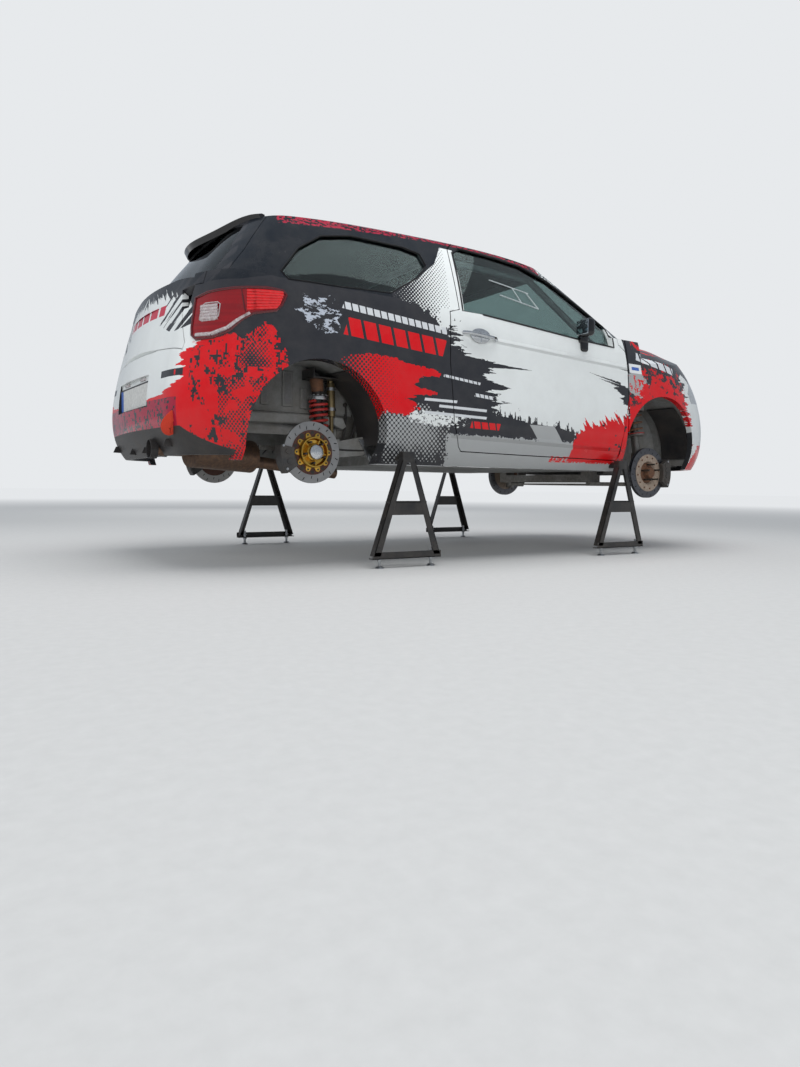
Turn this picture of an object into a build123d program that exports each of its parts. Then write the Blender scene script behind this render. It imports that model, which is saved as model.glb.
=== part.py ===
"""Rally car, three-door hatchback, standing with its wheels off on four A-frame stands.

X points forward, Y to the car's left, Z up. The shapes are written with z = 0 where the road would be
with the wheels on and x = 0 midway between the axles, and moved to the floor below the stands at the end.
"""
from build123d import *
from math import cos, pi, radians, sin, tan
import os

os.makedirs("parts", exist_ok=True)

LIFT = 327.0           # the body's height above the floor, over its height on its wheels
CENTRE_X = 69.1        # middle of the whole length, which becomes x = 0
AXLE_F, AXLE_R = 1232.0, -1232.0
HUB_Z_F, HUB_Z_R = 185.0, 237.0      # the hubs hang below their height on the wheels
ARCH_F = (1220.0, 300.0, 371.0)      # wheel arch: x, z, radius
ARCH_R = (-1252.0, 308.0, 355.0)
GAP = 5.0              # shut line round each door and lid
WALL = 90.0            # doors, sills and pillars below the windows
SKIN = 38.0            # roof, pillars beside the glass, outer panels
GLASS = 5.0
SCUTTLE = 10.0
CAMBER = 1.0           # degrees that the wheels' tops lean inwards
DISC_F = (AXLE_F, HUB_Z_F, -718.0, 165.0, 24.0)      # brake disc: x, z, y of the outer face, radius, thickness
DISC_R = (AXLE_R, HUB_Z_R, -690.0, 150.0, 12.0)
DISC_CLEAR = 7.0       # between a brake disc and its caliper
STUB = 30.0            # radius of a stub axle
RUNNING = 1.0          # clearance round a stub axle in its carrier
STUDS, STUD_CIRCLE, STUD = 5, 54.0, 6.0              # count, radius of their circle, radius


def mirrored(shape):
    return mirror(shape, about=Plane.XZ)


def rounded(points, share=0.47):
    """Closed outline with an arc at each corner that takes this share of the shorter side."""
    corners = []
    for k, here in enumerate(points):
        a, b, c = Vector(*points[k - 1]), Vector(*here), Vector(*points[(k + 1) % len(points)])
        u, w = (a - b).normalized(), (c - b).normalized()
        reach = share * min((a - b).length, (c - b).length)
        half = (u + w).length / 2
        inward = (u + w).normalized()
        radius = reach * (1 - half * half) ** 0.5 / half
        middle = b + inward * (reach / half - radius)
        corners.append((b + u * reach, middle, b + w * reach))
    edges = []
    for k, (start, middle, end) in enumerate(corners):
        edges.append(Edge.make_line(corners[k - 1][2], start))
        edges.append(Edge.make_three_point_arc(start, middle, end))
    return Wire(edges)


def both_sides(half):
    """A half outline that starts and ends on the centre line, with its mirror image."""
    return half + [(x, -y) for x, y in half[-2:0:-1]]


def grown(points, by):
    """Polygon with every side moved outwards."""
    area = sum(a[0] * b[1] - b[0] * a[1] for a, b in zip(points, points[1:] + points[:1]))
    turn = 1 if area > 0 else -1
    result = []
    for k, p in enumerate(points):
        o, q = points[k - 1], points[(k + 1) % len(points)]
        u = Vector(p[0] - o[0], p[1] - o[1]).normalized()
        w = Vector(q[0] - p[0], q[1] - p[1]).normalized()
        n = Vector(u.Y, -u.X) * turn
        m = Vector(w.Y, -w.X) * turn
        s = (n + m) * (by / (1 + n.dot(m)))
        result.append((p[0] + s.X, p[1] + s.Y))
    return result


def face_xz(points, y):
    return Face(Wire.make_polygon([(x, y, z) for x, z in points], close=True))


def prism_y(points, y0, y1):
    """Polygon of (x, z) between two y values."""
    return Solid.extrude(face_xz(points, y0), Vector(0, y1 - y0, 0))


def prism_x(points, x0, x1, rise=0.0):
    """Polygon of (y, z) between two x values, rising on the way."""
    face = Face(Wire.make_polygon([(x0, y, z) for y, z in points], close=True))
    return Solid.extrude(face, Vector(x1 - x0, 0, rise))


def prism_z(points, z0, z1):
    """Polygon of (x, y) between two z values."""
    face = Face(Wire.make_polygon([(x, y, z0) for x, y in points], close=True))
    return Solid.extrude(face, Vector(0, 0, z1 - z0))


def wedge_y(outer, inner, y0, y1):
    """Solid between two polygons of (x, z), one at each y."""
    wires = [Wire.make_polygon([(x, y, z) for x, z in p], close=True) for p, y in ((outer, y0), (inner, y1))]
    return Solid.make_loft(wires, ruled=True)


def block(x0, x1, y0, y1, z0, z1):
    return Pos((x0 + x1) / 2, (y0 + y1) / 2, (z0 + z1) / 2) * Box(x1 - x0, y1 - y0, z1 - z0)


def rod(a, b, radius, inner=0.0):
    """Round bar or tube from one point to another."""
    a, b = Vector(*a), Vector(*b)
    plane = Plane(origin=a, z_dir=(b - a).normalized())
    bar = extrude(plane * Circle(radius), amount=(b - a).length)
    if inner:
        bar -= extrude(plane * Circle(inner), amount=(b - a).length)
    return bar


def bent_tube(points, radius):
    """Round tube through points, with a ball at each bend."""
    result = rod(points[0], points[1], radius)
    for a, b in zip(points[1:], points[2:]):
        result += Pos(*a) * Sphere(1.07 * radius)
        result += rod(a, b, radius)
    return result


def wheel_disc(y0, y1, radius, x, z):
    return Pos(x, (y0 + y1) / 2, z) * Rot(90, 0, 0) * Cylinder(radius, abs(y1 - y0))


# Plan outlines of the body below the windows.
# z, then x, y of half an outline from the nose to the tail
LOWER = [
    (188, [(2010, 0), (1890, 500), (1720, 690), (1400, 770), (100, 770), (-1450, 765), (-1690, 670),
           (-1800, 545), (-1835, 0)]),
    (330, [(2072, 0), (1965, 530), (1768, 735), (1400, 840), (100, 838), (-1480, 842), (-1735, 745),
           (-1872, 590), (-1922, 0)]),
    (620, [(2077, 0), (1960, 540), (1745, 737), (1400, 850), (100, 846), (-1480, 856), (-1738, 755),
           (-1860, 590), (-1922, 0)]),
    (860, [(2010, 0), (1850, 500), (1605, 716), (1300, 822), (100, 838), (-1470, 842), (-1705, 748),
           (-1800, 570), (-1875, 0)]),
    (1060, [(1880, 0), (1640, 430), (1350, 632), (1050, 764), (100, 790), (-1440, 790), (-1640, 725),
            (-1755, 530), (-1825, 0)]),
]
# Plan outlines of the cab from below the window line to above the roof.
UPPER = [
    (930, [(1356, 0), (1194, 661), (955, 798), (40, 820), (-1160, 812), (-1600, 742), (-1778, 530),
           (-1868, 0)]),
    (1200, [(870, 0), (735, 586), (550, 692), (-150, 716), (-1100, 708), (-1475, 645), (-1612, 440),
            (-1660, 0)]),
    (1470, [(374, 0), (276, 499), (145, 560), (-352, 576), (-1010, 558), (-1330, 500), (-1400, 330),
            (-1418, 0)]),
]
# Centre-line heights of the bonnet and the roof: x, z
BONNET_TOP = [(990, 1062), (1150, 1056), (1300, 1042), (1550, 996), (1750, 926), (1900, 832), (1990, 752),
              (2045, 650), (2090, 520)]
ROOF_TOP = [(-1960, 1290), (-1500, 1392), (-1300, 1418), (-1000, 1442), (-700, 1454), (-200, 1462), (200, 1444),
            (460, 1402), (800, 1320), (1400, 1150)]


def plan_loft(rows, inset):
    wires = []
    for z, half in rows:
        moved = []
        for x, y in half:
            if y == 0:
                moved.append((x - inset if x > 0 else x + inset, 0))
            else:
                side = 0.8 if abs(x) > 1460 or y < 660 else 0.2
                moved.append((x - side * inset if x > 0 else x + side * inset, y - (1.15 - 0.5 * side) * inset))
        wires.append(rounded([(x, y, z) for x, y in both_sides(moved)]))
    return Solid.make_loft(wires)


def crown_loft(rows, inset, half_section):
    """Long cap under a crowned top: half_section holds y and the fall from the centre line."""
    wires = []
    for x, z in rows:
        half = [(y, z - inset - fall) for y, fall in half_section]
        points = [(x, y, h) for y, h in half] + [(x, -y, h) for y, h in half[-2::-1]]
        points += [(x, -half[0][0], 0.0), (x, half[0][0], 0.0)]
        wires.append(rounded(points, 0.45))
    return Solid.make_loft(wires)


def body(inset_low, inset_high):
    """The whole outer form, moved inwards by these amounts below and above the window line."""
    low = plan_loft(LOWER, inset_low)
    bonnet = crown_loft(BONNET_TOP, inset_high, [(920, 330), (800, 140), (650, 46), (0, -10)])
    belt = [(1000, 1000), (-1380, 1000), (-1620, 1044), (-2100, 1050)]
    belt = [(x, z - inset_high) for x, z in belt] + [(-2100, 0), (1000, 0)]
    cap = prism_y(belt, -1000, 1000) + (bonnet & block(1000, 2200, -1000, 1000, 0, 1200))
    cab = plan_loft(UPPER, inset_high)
    roof = crown_loft(ROOF_TOP, inset_high, [(800, 300), (700, 150), (602, 34), (0, -12)])
    return (low & cap) + (cab & roof)


OUTER = body(0, 0)
CORE = body(WALL, SKIN)          # inside of doors, sills and pillars
THIN = body(SKIN, SKIN)          # inside of wings, lids and bumpers


def skin(region, core=THIN):
    """The part of the body's wall that lies in a region."""
    return (OUTER & region) - core


# Door shut line: x, z, distance of the skin from the centre, and the edge's shift in x and z for
# each mm inwards, so that the door swings free of the opening
DOOR = [(-500, 984, 806, .15, 0), (-514, 732, 850, .12, 0), (-486, 421, 845, .12, 0), (-439, 291, 825, .12, 0),
        (-417, 268, 818, .12, 0), (78, 261, 815, 0, 0), (800, 254, 812, -.12, 0), (818, 379, 843, -.12, 0),
        (866, 627, 852, -.12, 0), (868, 861, 838, -.12, 0), (852, 924, 822, -.12, 0), (798, 956, 806, -.12, 0),
        (784, 1090, 735, -.15, -.15), (705, 1138, 700, -.2, -.2), (375, 1330, 640, -.15, -.25),
        (160, 1398, 612, 0, -.3), (-26, 1412, 607, 0, -.3), (-330, 1422, 604, .2, -.3),
        (-384, 1372, 625, .2, -.2), (-418, 1012, 800, .15, 0)]


def door_shape(gap, y0, y1):
    """The door's whole cut, from one distance off the centre line to another."""
    at = [[(x + dx * (skin_y - abs(y)), z + dz * (skin_y - abs(y))) for x, z, skin_y, dx, dz in DOOR]
          for y in (y0, y1)]
    if gap:
        at = [grown(p, gap) for p in at]
    return wedge_y(at[0], at[1], y0, y1)


DOOR_WINDOW = [(-388, 1010), (474, 953), (744, 942), (750, 1078), (685, 1113), (361, 1300), (155, 1368),
               (-26, 1382), (-300, 1390), (-352, 1352)]
QUARTER_WINDOW = [(-1405, 1072), (-1375, 1035), (-1133, 1031), (-845, 1042), (-655, 1155), (-578, 1235),
                  (-600, 1300), (-700, 1320), (-1000, 1322), (-1166, 1290), (-1296, 1205)]
DOOR_HINGE = (800, -824)
HINGES = (560, 790)      # heights of the door hinges
# Tailgate in rear view y, z at x = -1300, and the rise of its edges for each mm backwards
TAIL_RISE = 0.80


def tail_point(x, y, z):
    return y, z + (x + 1300) * TAIL_RISE


TAILGATE = [tail_point(*p) for p in (
    (-1865, 583, 712), (-1850, 587, 734), (-1825, 529, 819), (-1790, 442, 985), (-1745, 600, 992),
    (-1560, 575, 1200), (-1385, 508, 1390), (-1372, 498, 1412))]
TAILGATE += [(-y, z) for y, z in reversed(TAILGATE)]
TAIL_WINDOW = [tail_point(*p) for p in ((-1775, 525, 1042), (-1610, 505, 1200), (-1480, 430, 1345))]
TAIL_WINDOW += [(-y, z) for y, z in reversed(TAIL_WINDOW)]
BONNET_RISE = 0.30      # the bonnet's edges lean forwards by this for each mm up
REAR_LEAN = 0.35        # its rear edge is undercut by this, to rise clear of the scuttle


def bonnet_point(x, y, z):
    return x - (z - 500) * BONNET_RISE, y


BONNET = [bonnet_point(*p) for p in (
    (1948, 180, 795), (1915, 340, 800), (1800, 500, 848), (1640, 590, 905), (1400, 648, 968), (1172, 645, 1008),
    (1215, 400, 1030), (1235, 0, 1045))]
BONNET += [(x, -y) for x, y in BONNET[-2::-1]]
WINDSCREEN = [(0, 1068), (420, 1052), (612, 1026), (482, 1378), (0, 1388)]
WINDSCREEN += [(-y, z) for y, z in WINDSCREEN[-2:0:-1]]


def tail_prism(points, x1=-2300):
    return prism_x(points, -1300, x1, (-1300 - x1) * TAIL_RISE)


parts = {}
arches = [wheel_disc(-900, -480, r, x, z) + block(x - r + 6, x + r - 6, -900, -480, 0, z - 60)
          for x, z, r in (ARCH_F, ARCH_R)]
all_arches = [a + mirrored(a) for a in arches]
tail_opening = tail_prism(grown(TAILGATE, GAP))
bonnet_face = Face(Wire.make_polygon([(x, y, 500) for x, y in BONNET], close=True))
bonnet_solid = Solid.extrude(bonnet_face, Vector(700 * BONNET_RISE, 0, 700))
rear_edge = [(x + (z - 500) * REAR_LEAN, y) for x, y, z in (
    (1172, 645, 1008), (1215, 400, 1030), (1235, 0, 1045), (1215, -400, 1030), (1172, -645, 1008))]
rear_face = Face(Wire.make_polygon([(x, y, 500) for x, y in [(2700, 800), (1200, 800)] + rear_edge + [
    (1200, -800), (2700, -800)]], close=True))
bonnet_solid = bonnet_solid & Solid.extrude(rear_face, Vector(-700 * REAR_LEAN, 0, 700))
bonnet_face = Face(Wire.make_polygon([(x, y, 500) for x, y in grown(BONNET, GAP)], close=True))
bonnet_opening = Solid.extrude(bonnet_face, Vector(700 * BONNET_RISE, 0, 700))
# Lamp outlines: tail lamp seen along LAMP_VIEW; bumpers and headlamp in side view x, z
LAMP_VIEW = Vector(0.368, 0.930, 0)      # level direction along which the tail lamp's outline is drawn
TAIL_LAMP = [(-1433, 920), (-1379, 939), (-1245, 953), (-1117, 961), (-1039, 953), (-1022, 934), (-1044, 886),
             (-1071, 857), (-1172, 838), (-1218, 812), (-1281, 754), (-1354, 723), (-1429, 717), (-1450, 740),
             (-1451, 781), (-1442, 854)]
BUMPER_LINE = [(-1382, 640), (-1500, 856), (-1600, 890), (-1800, 880), (-1870, 706), (-2100, 706), (-2100, 100),
               (-1382, 100)]
NOSE_LINE = [(1490, 560), (1560, 650), (1800, 664), (1900, 700), (1990, 742), (2200, 742), (2200, 100), (1490, 100)]
HEADLAMP = [(1560, 655), (1800, 670), (1900, 706), (1995, 748), (1960, 800), (1800, 862), (1600, 812), (1520, 720)]
door_cut = door_shape(GAP, -900, -540)
lamp_plane = Plane(origin=Vector(0, 0, 0) - LAMP_VIEW * 1700, x_dir=(0.930, -0.368, 0), z_dir=LAMP_VIEW * -1)
lamp_face = Face(Wire.make_polygon([lamp_plane.origin + lamp_plane.x_dir * a + Vector(0, 0, z)
                                    for a, z in TAIL_LAMP], close=True))
lamp_space = Solid.extrude(lamp_face, LAMP_VIEW * 900) - tail_opening
head_space = prism_y(HEADLAMP, -1000, -360) - bonnet_opening
windscreen_hole = prism_x(WINDSCREEN, 100, 1500)
GLASS_OUT, GLASS_IN = plan_loft(UPPER, 12), plan_loft(UPPER, 12 + GLASS)


def pair(solid):
    """Right and left pieces that share a node."""
    return Compound(solid.solids() + mirrored(solid).solids())


def largest(shape):
    return max(shape.solids(), key=lambda s: s.volume)


def pane(region):
    return largest((GLASS_OUT & region) - GLASS_IN)


# Fixed outer panels
side = skin(block(-2300, 1010, -1000, -550, 150, 1600), CORE)
side = side - door_cut - tail_opening - prism_y(QUARTER_WINDOW, -950, -500) - prism_y(BUMPER_LINE, -1000, 0)
side = side - arches[1] - lamp_space - block(862, 1100, -1000, -400, 100, 1040) - windscreen_hole
px, py = DOOR_HINGE
sweep = [(((x - px) ** 2 + (skin_y + py) ** 2) ** 0.5 + GAP, z) for x, z, skin_y, dx, dz in DOOR
         if x > px - 10 and z < 960]
sweep = [(0, sweep[0][1] - 14)] + sweep + [(0, sweep[-1][1] + 16)]
sweep_face = Face(Wire.make_polygon([(px + r, py, z) for r, z in sweep], close=True))
hinge_room = Solid.revolve(sweep_face, 360, Axis((px, py, 0), (0, 0, 1)))      # room for the door's front edge
side -= hinge_room
parts["body_sides"] = pair(largest(side))

wing = skin(block(873, 2200, -1000, -520, 200, 1100))
wing = wing - bonnet_opening - block(800, 1170, -645, 0, 900, 1200) - arches[0] - door_cut - hinge_room
wing -= block(800, 1170, -1000, 0, 1038, 1200)
wing = wing - prism_y(NOSE_LINE, -1000, 0) - head_space
parts["front_wings"] = pair(largest(wing))

scuttle = (OUTER & block(1000, 1300, -645, 645, 960, 1100)) - body(SCUTTLE, SCUTTLE) - bonnet_opening - windscreen_hole
parts["scuttle_panel"] = largest(scuttle)

roof = skin(block(-1500, 1100, -550, 550, 1060, 1600)) - windscreen_hole - tail_opening
roof = largest(roof - door_cut - mirrored(door_cut))
for k in (-1, 1):
    roof += prism_y([(-1384, 1426), (-1368, 1426), (-1320, 1401), (-1320, 1391), (-1364, 1396), (-1379, 1408)],
                    *sorted((k * 286, k * 299)))
    roof -= rod((-1376, k * 280, 1418), (-1376, k * 300, 1418), 4.5)
parts["roof_panel"] = roof

bumper = skin(block(1480, 2200, -1000, 1000, 215, 800) & (
    prism_y(NOSE_LINE, -1000, 1000) + block(1972, 2200, -420, 420, 700, 800)))
bumper = bumper - all_arches[0] - head_space - mirrored(head_space) - bonnet_opening
bumper -= block(1700, 2200, -470, 470, 300, 430)
bumper -= block(1700, 2200, -360, 360, 560, 650)
parts["front_bumper"] = largest(bumper)
lamp = skin(prism_y(HEADLAMP, -1000, -360)) - bonnet_opening
parts["headlamps"] = pair(largest(lamp))

bumper = skin(block(-2200, -1382, -1000, 1000, 190, 900) & prism_y(BUMPER_LINE, -1000, 1000))
diffuser_space = prism_x([(-800, 150), (-770, 205), (-600, 340), (600, 340), (770, 205), (800, 150)], -1640, -2200)
bumper = bumper - all_arches[1] - tail_opening - lamp_space - mirrored(lamp_space)
bumper -= block(-2000, -1890, -275, 275, 446, 600)
parts["rear_bumper"] = largest(bumper - diffuser_space)
diffuser = skin(block(-2200, -1640, -800, 800, 212, 400) & diffuser_space) - rod((-1700, -282, 245), (-2200, -282, 245), 42)
parts["rear_diffuser"] = largest(diffuser)
parts["tail_lamps"] = pair(largest(skin(lamp_space)))

# Glass
parts["windscreen"] = pane(windscreen_hole)
parts["quarter_glass"] = pair(pane(prism_y(QUARTER_WINDOW, -950, -500)))

# Lids
tail_hole = tail_prism(TAIL_WINDOW)
tailgate = skin(tail_prism(TAILGATE))
tailgate = largest(tailgate - tail_hole)
TAIL_PIN = (-1376, 1418, 4)
tx, tz, tr = TAIL_PIN
for k in (-1, 1):
    tailgate -= block(-1402, -1300, *sorted((k * 280, k * 302)), 1380, 1440)
for k in (-1, 1):
    tailgate += prism_y([(tx - 6, tz + 7), (tx + 6, tz + 7), (tx + 6, tz - 5), (-1389, 1396), (-1410, 1384)],
                        *sorted((k * 301, k * 313)))
    tailgate += rod((tx, k * 285, tz), (tx, k * 313, tz), tr)
parts["tailgate"] = tailgate
parts["tailgate_glass"] = pane(tail_hole & tail_prism(TAILGATE))
bonnet = largest(skin(bonnet_solid & block(1100, 2100, -800, 800, 600, 1200)))
BONNET_PIN = (1130, 1016, 5)
hx, hz, hr = BONNET_PIN
for k in (-1, 1):
    bonnet += prism_y([(hx - 6, hz - 5), (hx + 6, hz + 5), (hx + 66, hz - 76), (1253, 998), (1253, 1003),
                       (1300, 998), (1300, 985), (1262, 982), (hx + 62, hz - 98)], *sorted((k * 296, k * 306)))
    bonnet += rod((hx, k * 296, hz), (hx, k * 322, hz), hr)
parts["bonnet"] = bonnet

# Doors
door_solid = door_shape(0, -900, -540)
window = prism_y(DOOR_WINDOW, -950, -500)
door = skin(door_solid, CORE) - window
for z in HINGES:
    door -= block(px - 14, px + 100, py - 10, py + 100, z - 20, z + 20)
door = largest(door)
for z in HINGES:
    door += Pos(px, py, z) * Cylinder(6, 42)
glass = pane(window)
# Mirror head's sections: x, half width, half height, corner radius
MIRROR = [(430, 53, 50, 22), (440, 56, 53, 25), (472, 50, 47, 30), (494, 28, 26, 20)]
MIRROR_Y, MIRROR_Z = -862, 1015
rings = [Plane(origin=(x, MIRROR_Y, MIRROR_Z), x_dir=(0, 1, 0), z_dir=(1, 0, 0)) * RectangleRounded(2 * a, 2 * b, r)
         for x, a, b, r in MIRROR]
mirror_body = loft(rings, ruled=True)
mirror_body += prism_y([(452, MIRROR_Z - 40), (486, MIRROR_Z - 40), (516, 880), (446, 880)], -848, -780)
parts["door_right"], parts["door_left"] = door, mirrored(door)
parts["door_glass_right"], parts["door_glass_left"] = glass, mirrored(glass)
mirror_body = largest(mirror_body - OUTER)
parts["mirror_right"], parts["mirror_left"] = mirror_body, mirrored(mirror_body)

# Floor, wheelhouses and bulkhead
floor = block(-812, 838, -760, 760, 188, 200) + block(-812, -800, -760, 760, 186, 414)
floor += block(-1850, -812, -760, 760, 400, 414)
floor += block(-1812, -1800, -560, 560, 330, 700)
floor += prism_y([(826, 186), (838, 186), (838, 905), (1010, 985), (1010, 1000), (826, 918)], -640, 640)
floor += block(826, 838, -700, 700, 186, 905) + block(1004, 1138, -600, 600, 975, 985)
floor = floor & CORE
for k in (-1, 1):
    ear = block(hx - 15, hx + 12, min(k * 308, k * 320), max(k * 308, k * 320), 980, hz + 8.5)
    floor += ear - rod((hx, k * 300, hz), (hx, k * 330, hz), hr + 0.5)
    for z in HINGES:
        eye = block(px - 6, px + 6, min(k * 686, k * -py), max(k * 686, k * -py), z - 15, z + 15)
        eye += block(px - 6, 830, min(k * 686, k * 698), max(k * 686, k * 698), z - 15, z + 15)
        eye += Pos(px, k * -py, z) * Cylinder(9, 30)
        floor += eye
        floor -= Pos(px, k * -py, z) * Cylinder(6.5, 40)
ax, az, ar = ARCH_R
for k in (-1, 1):
    house = wheel_disc(k * 500, k * 760, ar + 22, ax, az) & block(-1700, -800, -800, 800, az + 60, 900)
    hollow = wheel_disc(k * 508, k * 800, ar + 14, ax, az)
    floor = floor - hollow
    floor += (house - hollow) & CORE
    floor += block(-1640, -880, min(k * 500, k * 508), max(k * 500, k * 508), 330, az + 200)
ax, az, ar = ARCH_F
for k in (-1, 1):
    house = wheel_disc(k * 462, k * 815, ar + 20, ax, az) & block(873, 1700, -820, 820, az - 60, 900)
    hollow = wheel_disc(k * 470, k * 820, ar + 14, ax, az)
    tower = Pos(1218, k * 556, 700) * Cylinder(98, 200)
    apron = block(832, 1862, min(k * 462, k * 470), max(k * 462, k * 470), 240, 760)
    floor = floor - hollow + apron + ((house - hollow) & THIN) + tower
    floor -= Pos(1218, k * 556, 640) * Cylinder(90, 300)
    floor += block(832, 1900, min(k * 410, k * 470), max(k * 410, k * 470), 300, 400)
parts["floor_pan"] = largest(floor)

# Roll cage
R = 20
cage = bent_tube([(-330, -640, 200.3), (-330, -640, 960), (-330, -545, 1330), (-330, -430, 1380), (-330, 430, 1380),
                  (-330, 545, 1330), (-330, 640, 960), (-330, 640, 200.3)], R)
for k in (-1, 1):
    cage += bent_tube([(-330, k * 545, 1330), (300, k * 530, 1330), (780, k * 610, 990), (790, k * 640, 201.2)], R)
    cage += rod((-330, k * 545, 1330), (-1250, k * 470, 700), R - 1)
    cage += rod((-330, k * 638, 640), (788, k * 636, 330), R - 1)
    cage += rod((-330, k * 634, 330), (787, k * 622, 640), R - 2)
    cage += block(-1290, -1210, min(k * 440, k * 492), max(k * 440, k * 492), 660, 690)
cage += rod((296, -528, 1330), (296, 528, 1330), R - 1) + rod((782, -608, 986), (782, 608, 986), R - 1)
cage += rod((-330, -638, 300), (-330, 540, 1310), R - 1)
parts["roll_cage"] = largest(cage)

# Seats, dashboard, steering wheel
shell = prism_y([(-250, 200), (190, 200), (240, 380), (60, 360), (-60, 400), (-200, 980), (-290, 1000), (-300, 900),
                 (-180, 330)], 160, 600)
shell -= prism_y([(250, 420), (40, 400), (-100, 430), (-225, 1100), (400, 1100)], 205, 555)
seat = shell + prism_y([(-250, 200), (190, 200), (190, 215), (-250, 215)], 160, 600)
parts["seats"] = pair(seat)
parts["dashboard"] = prism_y([(826, 640), (660, 660), (600, 780), (640, 900), (826, 905)], -575, 575)
axis = Vector(-0.90, 0, 0.436).normalized()
hub = Plane(origin=(180, 400, 800), z_dir=axis)
wheel = hub * Torus(170, 15) + hub * Cylinder(42, 30)
for a in (90, 210, 330):
    wheel += hub * Rot(0, 0, a) * Pos(100, 0, 0) * Box(150, 34, 8)
column = rod(Vector(180, 400, 800) - axis * 10, Vector(180, 400, 800) - axis * 708.6, 18)
parts["steering_wheel"] = wheel + column

# Engine, subframe, exhaust
engine = block(1170, 1660, -390, 390, 180, 760)
engine += block(1300, 1400, -410, 410, 340, 380)
parts["engine_block"] = engine
frame = block(960, 1120, -405, 405, 118, 172) + block(1000, 1750, -400, 400, 100, 112)
for k in (-1, 1):
    frame += block(960, 1040, min(k * 380, k * 450), max(k * 380, k * 450), 118, 300)
    arm = prism_z([(1010, k * 380), (1120, k * 380), (1260, k * 640), (1240, k * 672), (1205, k * 660)], 96, 122)
    frame += arm
    frame += Pos(1236, k * 648, 100) * Cylinder(30, 40)
    frame += block(1060, 1110, min(k * 350, k * 405), max(k * 350, k * 405), 96, 150)
    frame -= rod((1238, k * 659, 20), (1234.6, k * 641, 155), 12.6)
parts["front_subframe"] = largest(frame)
pipe = bent_tube([(-800, -120, 150), (-1300, -160, 200), (-1650, -282, 245), (-1880, -282, 245)], 32)
pipe += rod((-1350, -200, 225), (-1700, -282, 245), 85)
pipe -= rod((-1700, -282, 245), (-1900, -282, 245), 27)
pipe += block(-1560, -1530, -250, -220, 290, 399.7)
parts["exhaust"] = largest(pipe)

def leant(disc, shape):
    """A shape at the right-hand wheel leant with the camber about the middle of its disc's outer face."""
    x, z, face = disc[:3]
    return Pos(x, face, z) * Rot(-CAMBER, 0, 0) * Pos(-x, -face, -z) * shape


def on_wheel(disc, start, end, radius, dx=0, dz=0):
    """Round piece along a wheel's axis between two depths, in mm inwards of the disc's outer face."""
    x, z, face = disc[:3]
    return leant(disc, wheel_disc(face + start, face + end, radius, x + dx, z + dz))


def disc_slot(disc):
    """Room that a caliper leaves for the turning disc and its stub axle."""
    slot = on_wheel(disc, -DISC_CLEAR, disc[4] + DISC_CLEAR, disc[3] + DISC_CLEAR)
    return slot + on_wheel(disc, 0, 150, STUB + DISC_CLEAR)


# Front suspension: strut and hub carrier turn together about the line through top mount and ball joint
FOOT = Vector(1236, -648, 100)
TOP = Vector(1218, -556, 795)
king = (TOP - FOOT).normalized()


def on_king(z):
    return FOOT + king * ((z - FOOT.Z) / king.Z)


strut = rod(on_king(84), on_king(135), 12) + rod(on_king(130), on_king(150), 26)
strut += rod(on_king(300), on_king(640), 27) + rod(on_king(560), on_king(776), 11)
strut += rod(on_king(430), on_king(440), 70) + rod(on_king(716), on_king(728), 70)
strut += block(AXLE_F - 32, AXLE_F + 30, -664, -600, 134, 320)
strut += on_wheel(DISC_F, 46, 118, 52)
strut -= on_wheel(DISC_F, 18, 158, STUB + RUNNING)
spring = rod(on_king(440), on_king(716), 62, 46)
caliper_front = block(1340, 1430, -752, -672, 110, 260)
caliper_front += prism_y([(AXLE_F + 30, 130), (1345, 130), (1345, 240), (AXLE_F + 30, 240)], -690, -650)
caliper_front = largest(leant(DISC_F, caliper_front) - disc_slot(DISC_F) - strut)
for name, shape in (("strut", strut), ("front_spring", spring), ("front_caliper", caliper_front)):
    parts[name + "_right"], parts[name + "_left"] = shape, mirrored(shape)


def hub_and_disc(disc, stub_length):
    """Brake disc with its bell, the hub with its studs outside it and the stub axle inside it."""
    thick = disc[4]
    hub = on_wheel(disc, 0, thick, disc[3]) - on_wheel(disc, -1, thick + 1, 92)
    hub += on_wheel(disc, -22, thick, 95) - on_wheel(disc, -14, thick + 1, 84)
    hub += on_wheel(disc, -30, -14, 68) + on_wheel(disc, -60, -30, 34) + on_wheel(disc, -16, stub_length, STUB)
    for k in range(STUDS):
        a = 2 * pi * k / STUDS
        hub += on_wheel(disc, -62, -20, STUD, STUD_CIRCLE * cos(a), STUD_CIRCLE * sin(a))
    return hub


for name, disc, stub_length in (("front_hub", DISC_F, 128), ("rear_hub", DISC_R, 90)):
    parts[name + "_right"] = hub_and_disc(disc, stub_length)
    parts[name + "_left"] = mirrored(parts[name + "_right"])

# Rear suspension
arm = prism_y([(-812, 330), (-812, 270), (-900, 235), (-1180, 205), (-1285, 205), (-1285, 270), (-1180, 275),
               (-900, 330)], -600, -545)
arm += on_wheel(DISC_R, 28, 130, 48)
arm += block(-876, -812, -610, -520, 230, 400)
SPRING = (-1136, -572, 330, 250)        # x, y, foot and height
DAMPER = (-1055, -560, 312, 21)         # x, y, foot and radius
SEAT = 0.3                              # joint between pieces that stand on each other
arm += Pos(SPRING[0], SPRING[1], SPRING[2] - 30) * Cylinder(58, 60)
arm += block(DAMPER[0] - 24, DAMPER[0] + 24, -600, -536, 240, DAMPER[2])
arm -= on_wheel(DISC_R, -10, 150, STUB + RUNNING)
parts["rear_arms"] = pair(largest(arm))
spring = Cylinder(52, SPRING[3]) - Cylinder(38, SPRING[3] + 10)
parts["rear_springs"] = pair(Pos(SPRING[0], SPRING[1], SPRING[2] + SPRING[3] / 2) * spring)
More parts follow.
